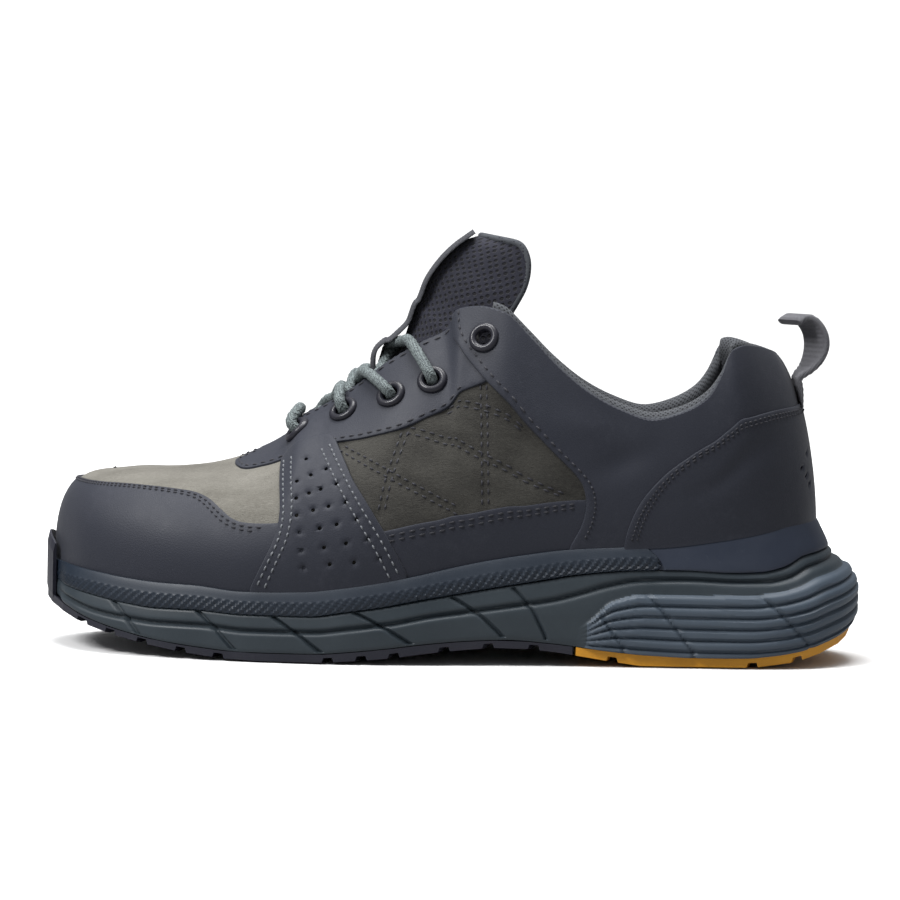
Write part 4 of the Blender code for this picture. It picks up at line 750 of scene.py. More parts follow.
def wallPoint(flat, side, out):
    # Places flat points on the wall of the upper, moved out along its normal.
    angle = np.clip(flat[:, 0], 0, flatRound) / flatRound * math.pi
    up = flat[:, 1] / flatUp
    rise = out + creaseHeight(flat)
    placed = {}
    for s in (-1, 1):
        placed[s] = upperSurface(angle, up, s) + upperNormal(angle, up, s) * rise[:, None]
    shared = sharedPoints(flat)
    return np.where(shared[:, None], (placed[-1] + placed[1]) / 2, placed[side])


def roundLoop(outline, times=2):
    points = np.array(outline) * (flatRound, flatUp)
    for i in range(times):
        after = np.roll(points, -1, 0)
        points = np.stack([points * 0.78 + after * 0.22, points * 0.22 + after * 0.78], 1).reshape(-1, 2)
    return points


def evenLoop(loop, step):
    closed = np.concatenate([loop, loop[:1]])
    lengths = walkedAlong(closed)
    at = np.linspace(0, lengths[-1], max(6, int(lengths[-1] / step)), endpoint=False)
    return np.stack([np.interp(at, lengths, closed[:, i]) for i in range(2)], -1)


def domainPoints(low, step):
    columns = np.linspace(0, flatRound, int(flatRound / step) + 1)
    rows = np.linspace(low, flatUp, int((flatUp - low) / step) + 1)
    start = np.interp(throatPlace(), columns, columns)
    columns = np.unique(np.round(np.append(columns, start), 7))
    bottom = [(x, low) for x in columns]
    right = [(flatRound, y) for y in rows[1:-1]]
    top = [(x, flatUp) for x in columns[::-1]]
    left = [(0.0, y) for y in rows[-2:0:-1]]
    return bottom + right + top + left


def flatMesh(loop, holes, low, step, insets=()):
    # Triangles over the part of the flat wall inside a loop, or over all of it.
    border = domainPoints(low, step)
    points, edges = list(border), closedEdges(0, len(border))
    rings = [] if loop is None else [loop] + [insetOutline(loop, d) for d in insets]
    rings += list(holes)
    for ring in rings:
        edges += closedEdges(len(points), len(ring))
        points += [tuple(p) for p in ring]
    columns = np.arange(step / 2, flatRound, step)
    rows = np.arange(low + step / 2, flatUp - 0.0012, step)
    rows = np.concatenate([rows, (flatUp - 0.0009, flatUp - 0.0004)])
    grid = np.array([(x + (step / 2 if j % 2 else 0), y) for j, y in enumerate(rows) for x in columns])
    grid = grid[(grid[:, 0] > step * 0.3) & (grid[:, 0] < flatRound - step * 0.3)]
    if loop is not None:
        grid = grid[insideDepth(grid, loop) > (max(insets) if insets else 0) + step * 0.35]
    for hole in holes:
        grid = grid[insideDepth(grid, hole) < -step * 0.3]
    points += [tuple(p) for p in grid]
    meshed = delaunay_2d_cdt([Vector(p) for p in points], edges, [], 0, 1e-7)
    flat, triangles = np.array([tuple(v) for v in meshed[0]]), np.array(meshed[2])
    middle = flat[triangles].mean(1)
    keep = ((middle > (-1e-7, low)) & (middle < (flatRound, flatUp))).all(1)
    if loop is not None:
        keep &= insideDepth(middle, loop) > 0
    for hole in holes:
        keep &= insideDepth(middle, hole) < 0
    triangles = triangles[keep]
    used = np.unique(triangles)
    renumber = np.full(len(flat), -1)
    renumber[used] = np.arange(len(used))
    return flat[used], renumber[triangles]


def openEdges(triangles):
    seen = {}
    for t in triangles:
        for i in range(3):
            a, b = int(t[i]), int(t[(i + 1) % 3])
            seen[(a, b)] = True
    return [(a, b) for a, b in seen if (b, a) not in seen]


def roundOff(depth, radius):
    share = 1 - np.clip(depth / radius, 0, 1)
    return radius * (1 - np.sqrt(np.clip(1 - share ** 2, 0, 1)))


def panel(name, outline, rise, surface, holes=(), step=0.0015, radius=0.0006, drop=0.0014, low=-0.001):
    # One cut piece of the upper on both sides: rounded edge, and a turned-down rim.
    loop = evenLoop(roundLoop(outline), 0.0011)
    flat, triangles = flatMesh(loop, holes, low, step, (radius * 0.35, radius))
    depth = insideDepth(flat, loop)
    for hole in holes:
        depth = np.minimum(depth, -insideDepth(flat, hole) * 0.9 + 0.00002)
    free = flat[:, 0] > throatPlace()
    depth = np.where(free, np.minimum(depth, flatUp - flat[:, 1]), depth)
    out = rise - roundOff(np.maximum(depth, 0), radius)
    rim = openEdges(triangles)
    shared = sharedPoints(flat)
    points, faces = [], []
    for side in (-1, 1):
        base = len(points)
        points += list(wallPoint(flat, side, out))
        under = wallPoint(flat, side, np.full(len(flat), rise - drop))
        turned = {}
        for t in triangles:
            faces.append(tuple(base + i for i in (t if side < 0 else t[::-1])))
        for a, b in rim:
            if shared[a] and shared[b]:
                continue
            for i in (a, b):
                if i not in turned:
                    turned[i] = len(points)
                    points.append(under[i])
            quad = (base + a, turned[a], turned[b], base + b)
            faces.append(quad if side < 0 else quad[::-1])
    return buildMesh(name, points, faces, [surface], 38.0)


def stitchRow(rows, path, side, out, length, pitch):
    # Adds the flat places and heights of stitches that follow a flat path.
    path = np.array(path) * (flatRound, flatUp)
    at = walkedAlong(path)
    middles = (np.arange(int(at[-1] / pitch)) + 0.5) * pitch
    ends = (middles[:, None] + np.array([-0.5, -0.17, 0.17, 0.5]) * length).ravel()
    flat = np.stack([np.interp(ends, at, path[:, k]) for k in range(2)], -1)
    lift = out(flat) + np.tile([-0.0003, 0.00022, 0.00022, -0.0003], len(middles))
    rows.append((flat, lift, side))


def threadMesh(name, rows, surface, radius):
    # Raised stitches, each a short capsule over four rings.
    placed = []
    for side in (-1, 1):
        flat = np.concatenate([row[0] for row in rows if row[2] == side])
        lift = np.concatenate([row[1] for row in rows if row[2] == side])
        placed.append(wallPoint(flat, side, lift).reshape(-1, 4, 3))
    paths = np.concatenate(placed)
    run = paths[:, 3] - paths[:, 0]
    run /= np.linalg.norm(run, axis=1, keepdims=True)
    sides = np.cross(run, (0.3, 0.2, 1.0))
    sides /= np.linalg.norm(sides, axis=1, keepdims=True)
    others = np.cross(run, sides)
    turns = np.arange(5) * 2 * math.pi / 5
    spokes = sides[:, None] * np.cos(turns)[:, None] + others[:, None] * np.sin(turns)[:, None]
    shares = np.array([0.6, 1.0, 1.0, 0.6])
    rings = paths[:, :, None] + radius * shares[:, None, None] * spokes[:, None]
    points, faces = [], []
    for stitch in rings:
        addTube(points, faces, stitch)
    return orient(buildMesh(name, points, faces, [surface], 70.0))


def offsetPath(path, distance):
    path = np.array(path) * (flatRound, flatUp)
    run = np.gradient(path, axis=0)
    run /= np.linalg.norm(run, axis=1, keepdims=True)
    return (path + np.stack([-run[:, 1], run[:, 0]], -1) * distance) / (flatRound, flatUp)


# Upper

print("upper")
upperLook = {
    "leather": (0.019, 0.0215, 0.032), "leatherWorn": (0.046, 0.049, 0.064), "sheen": 0.06,
    "vamp": (0.235, 0.225, 0.198), "vampDark": (0.090, 0.084, 0.070),
    "quarter": (0.078, 0.075, 0.066), "quarterDark": (0.022, 0.021, 0.019),
    "cloth": (0.045, 0.05, 0.06), "clothFleck": (0.10, 0.11, 0.12),
    "vampEnd": 0.40, "quiltDepth": 0.0006, "quiltWidth": 0.0021, "eyeletHole": 0.0072,
    "perforation": 0.00075, "slotLong": 0.0013, "slotHigh": 0.00045, "slotTurn": 0.5}
leather = surfaced("leather", "grain",
                   {"Colour": upperLook["leather"], "Worn": upperLook["leatherWorn"], "Size": 1.0},
                   (0.35, 0.00012), {"Specular IOR Level": 0.28, "Sheen Weight": upperLook["sheen"],
                                     "Sheen Roughness": 0.5})
vampSuede = suede("vampSuede", upperLook["vamp"], upperLook["vampDark"], 0.12)
quarterSuede = suede("quarterSuede", upperLook["quarter"], upperLook["quarterDark"], 0.08)
liningCloth = woven("liningCloth", upperLook["cloth"], upperLook["clothFleck"], 0.3, 500.0,
                    (0.5, 0.0003), 0.95)

# Creases: place round and up, turn, half length, half width, height.
creases = (
    (0.335, 0.70, 70, 0.010, 0.0035, -0.0008), (0.30, 0.78, 60, 0.012, 0.004, -0.0005),
    (0.352, 0.60, 80, 0.012, 0.004, -0.0006), (0.48, 0.40, 75, 0.014, 0.005, -0.0006),
    (0.57, 0.42, 80, 0.012, 0.005, -0.0005), (0.66, 0.62, 60, 0.016, 0.006, -0.0010),
    (0.62, 0.74, 50, 0.014, 0.006, 0.0005), (0.80, 0.40, 10, 0.022, 0.006, -0.0008),
    (0.20, 0.85, 10, 0.020, 0.006, 0.0004), (0.535, 0.80, 65, 0.012, 0.004, -0.0005))

outlines = {
    "toeGuard": ((-0.05, -0.3), (-0.05, 0.668), (0.0, 0.668), (0.04, 0.666), (0.073, 0.659), (0.12, 0.640),
                 (0.170, 0.621), (0.223, 0.600), (0.259, 0.588), (0.289, 0.556), (0.306, 0.498),
                 (0.319, 0.411), (0.329, 0.355), (0.341, 0.327), (0.371, 0.307), (0.40, 0.30),
                 (0.41, -0.3)),
    "lowerGuard": ((0.44, -0.3), (0.44, 0.20), (0.461, 0.195), (0.490, 0.196), (0.524, 0.188), (0.55, 0.20),
                   (0.574, 0.221), (0.60, 0.265), (0.626, 0.310), (0.65, 0.34), (0.65, -0.3)),
    "eyestay": ((0.345, 1.12), (0.352, 1.0), (0.340, 0.955), (0.328, 0.926), (0.327, 0.87), (0.329, 0.822),
                (0.334, 0.775), (0.349, 0.751), (0.367, 0.729), (0.39, 0.716), (0.418, 0.700), (0.443, 0.649),
                (0.460, 0.618), (0.476, 0.610), (0.499, 0.634), (0.527, 0.665), (0.545, 0.70), (0.57, 0.80),
                (0.57, 1.12)),
    "strap": ((0.345, -0.3), (0.346, 0.0), (0.354, 0.075), (0.362, 0.153), (0.3685, 0.22), (0.372, 0.30),
              (0.373, 0.379), (0.371, 0.538), (0.370, 0.68), (0.372, 0.735), (0.380, 0.765), (0.397, 0.775),
              (0.410, 0.762), (0.418, 0.727), (0.4235, 0.63), (0.429, 0.540), (0.434, 0.46), (0.441, 0.383),
              (0.453, 0.261), (0.463, 0.174), (0.474, 0.075), (0.482, 0.003), (0.484, -0.3)),
    "collarPanel": ((0.512, 1.12), (0.512, 1.0), (0.511, 0.906), (0.518, 0.83), (0.527, 0.768),
                    (0.540, 0.695), (0.556, 0.638), (0.570, 0.595), (0.590, 0.548), (0.606, 0.500),
                    (0.618, 0.455), (0.626, 0.398), (0.629, 0.304), (0.628, 0.22), (0.625, 0.144),
                    (0.620, 0.075), (0.614, 0.0), (0.612, -0.3), (1.05, -0.3), (1.05, 1.12)),
    "counter": ((1.05, 0.624), (0.99, 0.624), (0.93, 0.610), (0.874, 0.595), (0.845, 0.588), (0.823, 0.588),
                (0.800, 0.612), (0.775, 0.650), (0.755, 0.672), (0.738, 0.668), (0.720, 0.625),
                (0.705, 0.570), (0.693, 0.49), (0.684, 0.407), (0.677, 0.32), (0.672, 0.238), (0.667, 0.13),
                (0.664, 0.032), (0.662, -0.3), (1.05, -0.3)),
}
eyelets = ((0.382, 0.90), (0.425, 0.875), (0.463, 0.80), (0.492, 0.785), (0.540, 0.865))
perforations = (
    (0.394, 0.630), (0.412, 0.550), (0.399, 0.532), (0.387, 0.507), (0.421, 0.458), (0.408, 0.449),
    (0.398, 0.436), (0.387, 0.416), (0.429, 0.360), (0.415, 0.357), (0.402, 0.350), (0.388, 0.330),
    (0.438, 0.273), (0.422, 0.268), (0.408, 0.262), (0.391, 0.250), (0.448, 0.179), (0.430, 0.180),
    (0.412, 0.176), (0.393, 0.170), (0.458, 0.095), (0.437, 0.097), (0.417, 0.103), (0.395, 0.099))
heelSlots = ((0.938, 0.356), (0.910, 0.283), (0.924, 0.241), (0.933, 0.193))
layers = {"toeGuard": 1, "lowerGuard": 1, "eyestay": 1, "strap": 2, "collarPanel": 2, "counter": 3}
loops = {name: evenLoop(roundLoop(outline), 0.0011) for name, outline in outlines.items()}


def overlayHeight(flat):
    heights = np.zeros(len(flat))
    for name, loop in loops.items():
        heights = np.maximum(heights, layers[name] * overlay * (insideDepth(flat, loop) > 0))
    return heights


def riseOf(name):
    return layers[name] * overlay - overlay


def flatNear(place, side, spots):
    # Flat places that lie right and up of an eyelet's centre, as seen along its normal.
    centre, normal, along, rise, top = eyeletPlace(place, side)
    across = along / np.linalg.norm(along)
    upward = np.cross(normal, across) * -side
    slopes = np.linalg.inv([[along @ across, rise @ across], [along @ upward, rise @ upward]])
    flat = np.tile(np.array(place) * (flatRound, flatUp), (len(spots), 1))
    for i in range(4):
        gaps = wallPoint(flat, side, np.zeros(len(flat))) - centre
        missing = spots - np.stack([gaps @ across, gaps @ upward], -1)
        flat = flat + missing @ slopes.T
        flat[:, 1] = np.minimum(flat[:, 1], flatUp)
    return flat


def circle(radius, count):
    turns = np.arange(count) * 2 * math.pi / count
    return radius * np.stack([np.cos(turns), np.sin(turns)], -1)


def eyeletHole(place, width, count=20):
    spots = circle(width / 2, count)
    return (flatNear(place, -1, spots) + flatNear(place, 1, spots)) / 2


def smallHole(place, right, up, turn, count=8):
    centre, normal, along, rise, top = eyeletPlace(place, -1)
    stretch = np.array([1 / np.linalg.norm(along), 1 / np.linalg.norm(rise)])
    angles = np.arange(count) * 2 * math.pi / count
    ring = np.stack([right * np.cos(angles), up * np.sin(angles)], -1)
    turned = ring @ np.array([[math.cos(turn), math.sin(turn)], [-math.sin(turn), math.cos(turn)]])
    return np.array(place) * (flatRound, flatUp) + turned * stretch


eyeletHoles = [eyeletHole(place, upperLook["eyeletHole"]) for place in eyelets]
dot = upperLook["perforation"]
punched = [smallHole(place, dot, dot, 0.0) for place in perforations]
slots = [smallHole(place, upperLook["slotLong"], upperLook["slotHigh"], upperLook["slotTurn"], 10)
         for place in heelSlots]

quilting = (
    ((0.538, 0.689), (0.543, 0.189)), ((0.474, 0.604), (0.543, 0.375), (0.614, 0.308)),
    ((0.474, 0.604), (0.462, 0.418), (0.457, 0.264)), ((0.423, 0.661), (0.462, 0.418), (0.524, 0.190)),
    ((0.502, 0.63), (0.573, 0.555)))


def quiltDip(flat):
    # The trough that each quilted line pulls into the suede.
    nearest = np.full(len(flat), 1.0)
    for line in quilting:
        points = np.array(line) * (flatRound, flatUp)
        for start, end in zip(points[:-1], points[1:]):
            run = end - start
            t = np.clip((flat - start) @ run / (run @ run), 0, 1)
            nearest = np.minimum(nearest, np.linalg.norm(flat - start - t[:, None] * run, axis=1))
    return -upperLook["quiltDepth"] * np.exp(-(nearest / upperLook["quiltWidth"]) ** 2)


def wallShell():
    # The bare wall with its suede outside and cloth inside, closed along its edges.
    flat, triangles = flatMesh(None, eyeletHoles, -0.004, 0.0016)
    rim = openEdges(triangles)
    shared = sharedPoints(flat)
    points, faces, slotsUsed = [], [], []
    middle = flat[triangles].mean(1)
    places = middle[:, 0] / flatRound
    suede = np.where(places < upperLook["vampEnd"], 0, 1)
    for side in (-1, 1):
        outer = len(points)
        points += list(wallPoint(flat, side, quiltDip(flat) - overlay))
        inner = len(points)
        points += list(wallPoint(flat, side, np.full(len(flat), -overlay - wall)))
        for t, kind in zip(triangles, suede):
            turned = t if side < 0 else t[::-1]
            faces.append(tuple(outer + i for i in turned))
            faces.append(tuple(inner + i for i in turned[::-1]))
            slotsUsed += [kind, 2]
        for a, b in rim:
            if shared[a] and shared[b]:
                continue
            quad = (outer + a, inner + a, inner + b, outer + b)
            faces.append(quad if side < 0 else quad[::-1])
            slotsUsed.append(2)
    return buildMesh("wallShell", points, faces, [vampSuede, quarterSuede, liningCloth], 50.0, slotsUsed)


shell = wallShell()
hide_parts("upper")
panelPlan = (
    ("toeGuard", [], {}),
    ("lowerGuard", [], {}),
    ("eyestay", eyeletHoles, {"drop": 0.0022}),
    ("strap", [eyeletHoles[0]] + punched, {"step": 0.0012}),
    ("collarPanel", [eyeletHoles[4]] + slots, {"drop": 0.0030}),
    ("counter", slots, {}))
for name, holes, changes in panelPlan:
    panel(name, outlines[name], riseOf(name), leather, holes, **changes)

# Stitching

print("stitching")
stitchLook = {
    "dark": (0.020, 0.020, 0.028), "darkFleck": (0.09, 0.09, 0.11),
    "pale": (0.20, 0.21, 0.23), "paleFleck": (0.08, 0.09, 0.10),
    "length": 0.0021, "pitch": 0.0029, "radius": 0.00034,
    "quiltLength": 0.0023, "quiltPitch": 0.0033, "quiltGap": 0.00095}
darkThread = woven("darkThread", stitchLook["dark"], stitchLook["darkFleck"], 0.3, 1500.0,
                   (0.4, 0.0001), 0.7)
paleThread = woven("paleThread", stitchLook["pale"], stitchLook["paleFleck"], 0.4, 1500.0,
                   (0.4, 0.0001), 0.7)

# Seams run along their panels' outlines, with ends of their own.
seams = {
    "toeGuardEdge": outlines["toeGuard"][2:14] + ((0.360, 0.311),),
    "lowerEdge": ((0.463, 0.195),) + outlines["lowerGuard"][3:8] + ((0.622, 0.305),),
    "strapLeft": ((0.350, 0.03),) + outlines["strap"][3:8] + ((0.3705, 0.70),),
    "strapRight": ((0.4785, 0.03), (0.463, 0.174), (0.453, 0.261), (0.441, 0.383), (0.429, 0.540),
                   (0.418, 0.715)),
    "eyestayLow": outlines["eyestay"][7:15] + ((0.524, 0.662),),
    "eyestayFront": outlines["eyestay"][7:2:-1] + ((0.350, 0.985),),
    "collarFront": ((0.512, 0.995),) + outlines["collarPanel"][2:15] + ((0.618, 0.04),),
    "counterEdge": ((1.0, 0.624),) + outlines["counter"][2:4] + outlines["counter"][5:18],
    "throatEdge": ((0.372, 1.0), (0.40, 1.0), (0.44, 1.0), (0.48, 1.0), (0.51, 1.0), (0.532, 1.0)),
}


def fixed(name):
    return lambda flat: np.full(len(flat), riseOf(name))


def sunken(flat):
    return quiltDip(flat) - overlay


def addSeams():
    dark, pale = [], []
    plan = (
        ("toeGuardEdge", "toeGuard", (-0.0020, -0.0039), dark),
        ("lowerEdge", "lowerGuard", (-0.0020, -0.0039), dark),
        ("strapLeft", "strap", (-0.0016, -0.0041), pale),
        ("strapRight", "strap", (0.0020, 0.0046), pale),
        ("eyestayLow", "eyestay", (0.0016,), dark),
        ("eyestayFront", "eyestay", (-0.0016,), dark),
        ("collarFront", "collarPanel", (0.0028,), dark),
        ("counterEdge", "counter", (0.0022, 0.0040), dark),
        ("throatEdge", "eyestay", (-0.0022,), dark))
    quiltSize = stitchLook["quiltLength"], stitchLook["quiltPitch"]
    for side in (-1, 1):
        for name, carrier, offsets, rows in plan:
            for offset in offsets:
                stitchRow(rows, offsetPath(easePath(seams[name]), offset), side, fixed(carrier),
                          stitchLook["length"], stitchLook["pitch"])
        for line in quilting:
            for offset in (-stitchLook["quiltGap"], stitchLook["quiltGap"]):
                stitchRow(dark, offsetPath(easePath(line, 3), offset), side, sunken, *quiltSize)
    threadMesh("darkStitches", dark, darkThread, stitchLook["radius"])
    threadMesh("paleStitches", pale, paleThread, stitchLook["radius"])


addSeams()

# Eyelets

print("eyelets")
eyeletLook = {"colour": (0.010, 0.010, 0.016), "dust": (0.06, 0.06, 0.08), "dusty": 0.2, "coat": 0.3,
              "steps": 36}
eyeletLacquer = moulded("eyeletLacquer", eyeletLook["colour"], eyeletLook["dust"], eyeletLook["dusty"],
                        (0.1, 0.00005), {"Coat Weight": eyeletLook["coat"], "Coat Roughness": 0.1,
                                         "Specular IOR Level": 0.25})


def eyeletRings():
    points, faces = [], []
    for side in (-1, 1):
        for place in eyelets:
            centre, normal, along, upSlope, top = eyeletPlace(place, side)
            across = along / np.linalg.norm(along)
            across -= normal * (across @ normal)
            across /= np.linalg.norm(across)
            upward = np.cross(normal, across) * -side
            face = centre + normal * (top - overlay)
            half, bore = eyeletOuter / 2, eyeletBore / 2
            profile = []
            for turn in np.linspace(-20, 200, 12):
                a = math.radians(turn)
                middle, wide = (half + bore) / 2, (half - bore) / 2
                rise = 0.0003 + eyeletRise * 0.92 * max(math.sin(a), -0.2)
                profile.append((middle + wide * math.cos(a), rise))
            profile += [(bore, -0.0010), (bore, -0.0022), (bore + 0.0006, -0.0024), (half * 0.8, -0.0002)]
            spots = circle(half, eyeletLook["steps"])
            edge = wallPoint(flatNear(place, side, spots), side, np.full(len(spots), top - overlay))
            bends = np.minimum(0.0, (edge - face) @ normal)
            rings = []
            for (right, up), bend in zip(spots / half, bends):
                spoke = across * right + upward * up
                rings.append([face + spoke * r + normal * (z + bend * (r / half) ** 2) for r, z in profile])
            addTube(points, faces, rings, True)
    return orient(buildMesh("eyeletRings", points, faces, [eyeletLacquer], 60.0))


rings = eyeletRings()
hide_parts(*["eyelet_" + name + "_" + str(i)
                     for name in ("lateral", "medial") for i in range(1, 6)])

# Lace

print("lace")
laceLook = {"colour": (0.23, 0.27, 0.27), "fleck": (0.035, 0.045, 0.055), "flecked": 0.85, "weave": 420.0,
            "swell": 0.045, "swellTurn": 2300, "clearance": 0.0003}
laceYarn = woven("laceYarn", laceLook["colour"], laceLook["fleck"], laceLook["flecked"], laceLook["weave"],
                 (0.7, 0.0004), 0.85)
# Places round the throat where each row of lace crosses the flap's edge.
laceEdges = (0.386, 0.425, 0.447, 0.480)


def laceExit(row, side):
    # The cord from inside an eyelet, up through it and over the flap's edge.
    centre, normal, along, rise, top = eyeletPlace(eyelets[row], side)
    face = centre + normal * (top - overlay)
    edgeFlat = np.array([[laceEdges[row] * flatRound, flatUp]])
    edge = wallPoint(edgeFlat, side, np.zeros(1))[0]
    edgeNormal = upperNormal(edgeFlat[:, 0] / flatRound * math.pi, np.array([0.99]), side)[0]
    clear = laceDiameter / 2 + laceLook["clearance"]
    toward = (edge - face) / np.linalg.norm(edge - face)
    over = edge + (edgeNormal + toward * 0.9) * clear
    bend = face + normal * (eyeletRise + clear) + toward * 0.0012
    return [face - normal * 0.0042, face + normal * 0.0008, bend, over]


def laceCord(points, radius):
    # A round cord with the slanting swells of its braid.
    path = smoothPath(points, 0.0006, 10)
    run, sides, others = frames(path)
    walked = walkedAlong(path)
    rings = []
    for i, point in enumerate(path):
        ring = []
        for k in range(16):
            turn = 2 * math.pi * k / 16
            twist = walked[i] * laceLook["swellTurn"]
            rise, fall = math.sin(4 * turn + twist), math.sin(4 * turn - twist)
            swell = laceLook["swell"] * rise + laceLook["swell"] * fall
            end = min(1.0, 0.45 + min(i, len(path) - 1 - i) * 0.3)
            spoke = sides[i] * math.cos(turn) + others[i] * math.sin(turn)
            ring.append(point + radius * end * (1 + swell) * spoke)
        rings.append(ring)
    return rings


def laces():
    made = []
    left, right = (laceExit(0, side) for side in (-1, 1))
    made.append((left[:3] + [left[3], (left[3] + right[3]) / 2 - (0, 0, 0.0010), right[3]] + right[2::-1]))
    for row in range(1, lacedEyelets):
        over = -1 if row % 2 else 1
        for side in (-over, over):
            start = laceExit(row, side)
            goalFlat = np.array([[laceEdges[row - 1] * flatRound, flatUp]])
            goal = wallPoint(goalFlat, -side, np.zeros(1))[0]
            lift = laceDiameter * 0.62 if side == over else 0.0
            seats = []
            for t, a in ((0.30, 0.12), (0.50, 0.34), (0.72, 0.60), (0.90, 0.82)):
                y = start[-1][1] + (goal[1] - start[-1][1]) * t
                x = start[-1][0] + (goal[0] - start[-1][0]) * a
                up = lift * math.exp(-((t - 0.50) / 0.2) ** 2)
                seats.append(laceSeat(x, y, laceLook["clearance"] + up))
            made.append(start + seats)
    points, faces = [], []
    for route in made:
        addTube(points, faces, laceCord(route, laceDiameter * 0.495))
    return orient(buildMesh("laceCord", points, faces, [laceYarn], 80.0))


cord = laces()
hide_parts("lace_bar", "lace_crossing_1", "lace_crossing_2", "lace_crossing_3")

# Tongue, strip, collar lining and pull loop

print("tongue")
tongueLook = {"colour": (0.022, 0.023, 0.040), "eye": (0.003, 0.003, 0.006), "knit": 430.0,
              "plain": (0.05, 0.05, 0.08),
              "piping": 0.0013, "ribs": 0.0004}
pipingLook = {"colour": (0.080, 0.088, 0.098), "eye": (0.02, 0.02, 0.03), "knit": 800.0,
              "plain": (0.13, 0.14, 0.15)}
tongueMesh = knitted("tongueMesh", tongueLook, (0.8, 0.0006), {"Roughness": 0.9, "Sheen Weight": 0.08}, "UV")
tongueEdge = knitted("tongueEdge", pipingLook, (0.6, 0.0003), {"Roughness": 0.9})


def unroll(made, count, size):
    # Lays a grid of rings out flat, in metres, for the pattern of its cloth.
    spots = np.array([v.co for v in made.data.vertices])[:count * size].reshape(count, size, 3)
    long = np.concatenate([[0], np.cumsum(np.linalg.norm(np.diff(spots.mean(1), axis=0), axis=1))])
    wide = np.linalg.norm(np.diff(spots, axis=1), axis=2)
    wide = np.concatenate([np.zeros((count, 1)), np.cumsum(wide, axis=1)], 1)
    wide -= wide.max(1, keepdims=True) / 4
    flat = np.stack([wide, np.broadcast_to(long[:, None], wide.shape)], -1).reshape(-1, 2)
    flat = np.concatenate([flat, np.zeros((len(made.data.vertices) - count * size, 2))])
    layer = made.data.uv_layers.new(name="UVMap")
    corners = np.zeros(len(made.data.loops), int)
    made.data.loops.foreach_get("vertex_index", corners)
    layer.data.foreach_set("uv", flat[corners].ravel())


def tongueBody():
    shares = np.sin(np.linspace(-math.pi / 2, math.pi / 2, 45))
    last = 1 - 0.04 * (1 - np.sin(np.linspace(0, math.pi / 2, 9)[1:]))
    ways = np.concatenate([np.linspace(0, 0.96, 80), last])
    rings, edge = [], []
    for way in ways:
        face = [tonguePlace(way, share) for share in shares]
        end = math.sqrt(max(0.04, 1 - max(0.0, (way - 0.955) / 0.045) ** 2))
        top, back = [], []
        for share, (point, normal, pad) in zip(shares, face):
            thick = pad * (1 - 0.65 * abs(share) ** 3)
            middle = point - normal * thick / 2
            wave = max(0.0, math.sin((way * 9 + 0.4) * 2 * math.pi))
            ribs = tongueLook["ribs"] * wave * (1 - share ** 2)
            top.append(middle + normal * (thick / 2 * end - ribs))
            back.append(middle - normal * thick / 2 * end)
        wings = []
        for i, sign in ((-1, 1), (0, -1)):
            point, normal, pad = face[i]
            thick = pad * 0.35 * end
            middle = (top[i] + back[i]) / 2
            out = np.cross(normal, (1, 0, 0)) * sign
            out *= np.sign(out[1]) * sign / np.linalg.norm(out)
            wings.append([middle + out * thick * 0.5 * math.cos(a) + normal * thick * 0.5 * math.sin(a)
                          for a in (0.9, 0.0, -0.9)])
        rings.append(top + wings[0] + back[::-1] + wings[1][::-1])
        edge.append((wings[1][1], wings[0][1]))
    topArc = [(a + b) / 2 for a, b in zip(top, back)][1:-1]
    points, faces = tubeGrid(rings)
    body = buildMesh("tongueBody", points, faces, [tongueMesh], 70.0)
    unroll(body, len(rings), len(rings[0]))
    orient(body)
    near = [e[0] for e in edge]
    far = [e[1] for e in edge]
    first = int(len(edge) * 0.52)
    rim = near[first:] + topArc + far[:first - 1:-1]
    pipe("tonguePiping", smoothPath(rim, 0.0010, 8), tongueLook["piping"], tongueEdge)
    return body


tonguePadding = tongueBody()
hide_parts("tongue")


def band(name, path, width, thickness, surface, turns=None, ribs=0.0, ribPitch=0.0016, sag=0.0, taper=0.0):
    # A flat webbing band with rounded edges along a path in the shoe's middle plane.
    run = np.gradient(path, axis=0)
    run /= np.linalg.norm(run, axis=1, keepdims=True)
    walked = walkedAlong(path)
    rings = []
    across = np.sin(np.linspace(-math.pi / 2, math.pi / 2, 17))
    for i, (point, along) in enumerate(zip(path, run)):
        turn = math.radians(turns[i]) if turns is not None else 0.0
        wide = np.array([-math.sin(turn), math.cos(turn), 0.0])
        normal = np.array([-along[2], 0, along[0]])
        normal -= wide * (normal @ wide)
        normal /= np.linalg.norm(normal)
        full = min(1.0, 0.25 + 0.75 * walked[i] / taper) if taper else 1.0
        thick = thickness / 2 * full
        rise = ribs * full * (0.5 + 0.5 * math.sin(walked[i] / ribPitch * 2 * math.pi))
        top, low = [], []
        for s in across:
            edge = math.sqrt(max(0.0, 1 - abs(s) ** 8))
            base = point + wide * (s * width / 2) - normal * sag * s * s
            top.append(base + normal * (thick * (0.35 + 0.65 * edge) + rise * (abs(s) < 0.86)))
            low.append(base - normal * (thick * (0.35 + 0.65 * edge) + rise * (abs(s) < 0.86)))
        rings.append(top + low[::-1])
    points, faces = tubeGrid(rings)
    return orient(buildMesh(name, points, faces, [surface], 55.0))


stripLook = {"colour": (0.035, 0.036, 0.045), "fleck": (0.15, 0.16, 0.18), "flecked": 0.35, "weave": 700.0,
             "width": 0.0165, "thickness": 0.0011, "ribs": 0.00012, "ribPitch": 0.0011, "sag": 0.0010}
darkWebbing = woven("darkWebbing", stripLook["colour"], stripLook["fleck"], stripLook["flecked"],
                    stripLook["weave"], (0.7, 0.0004), 0.8)


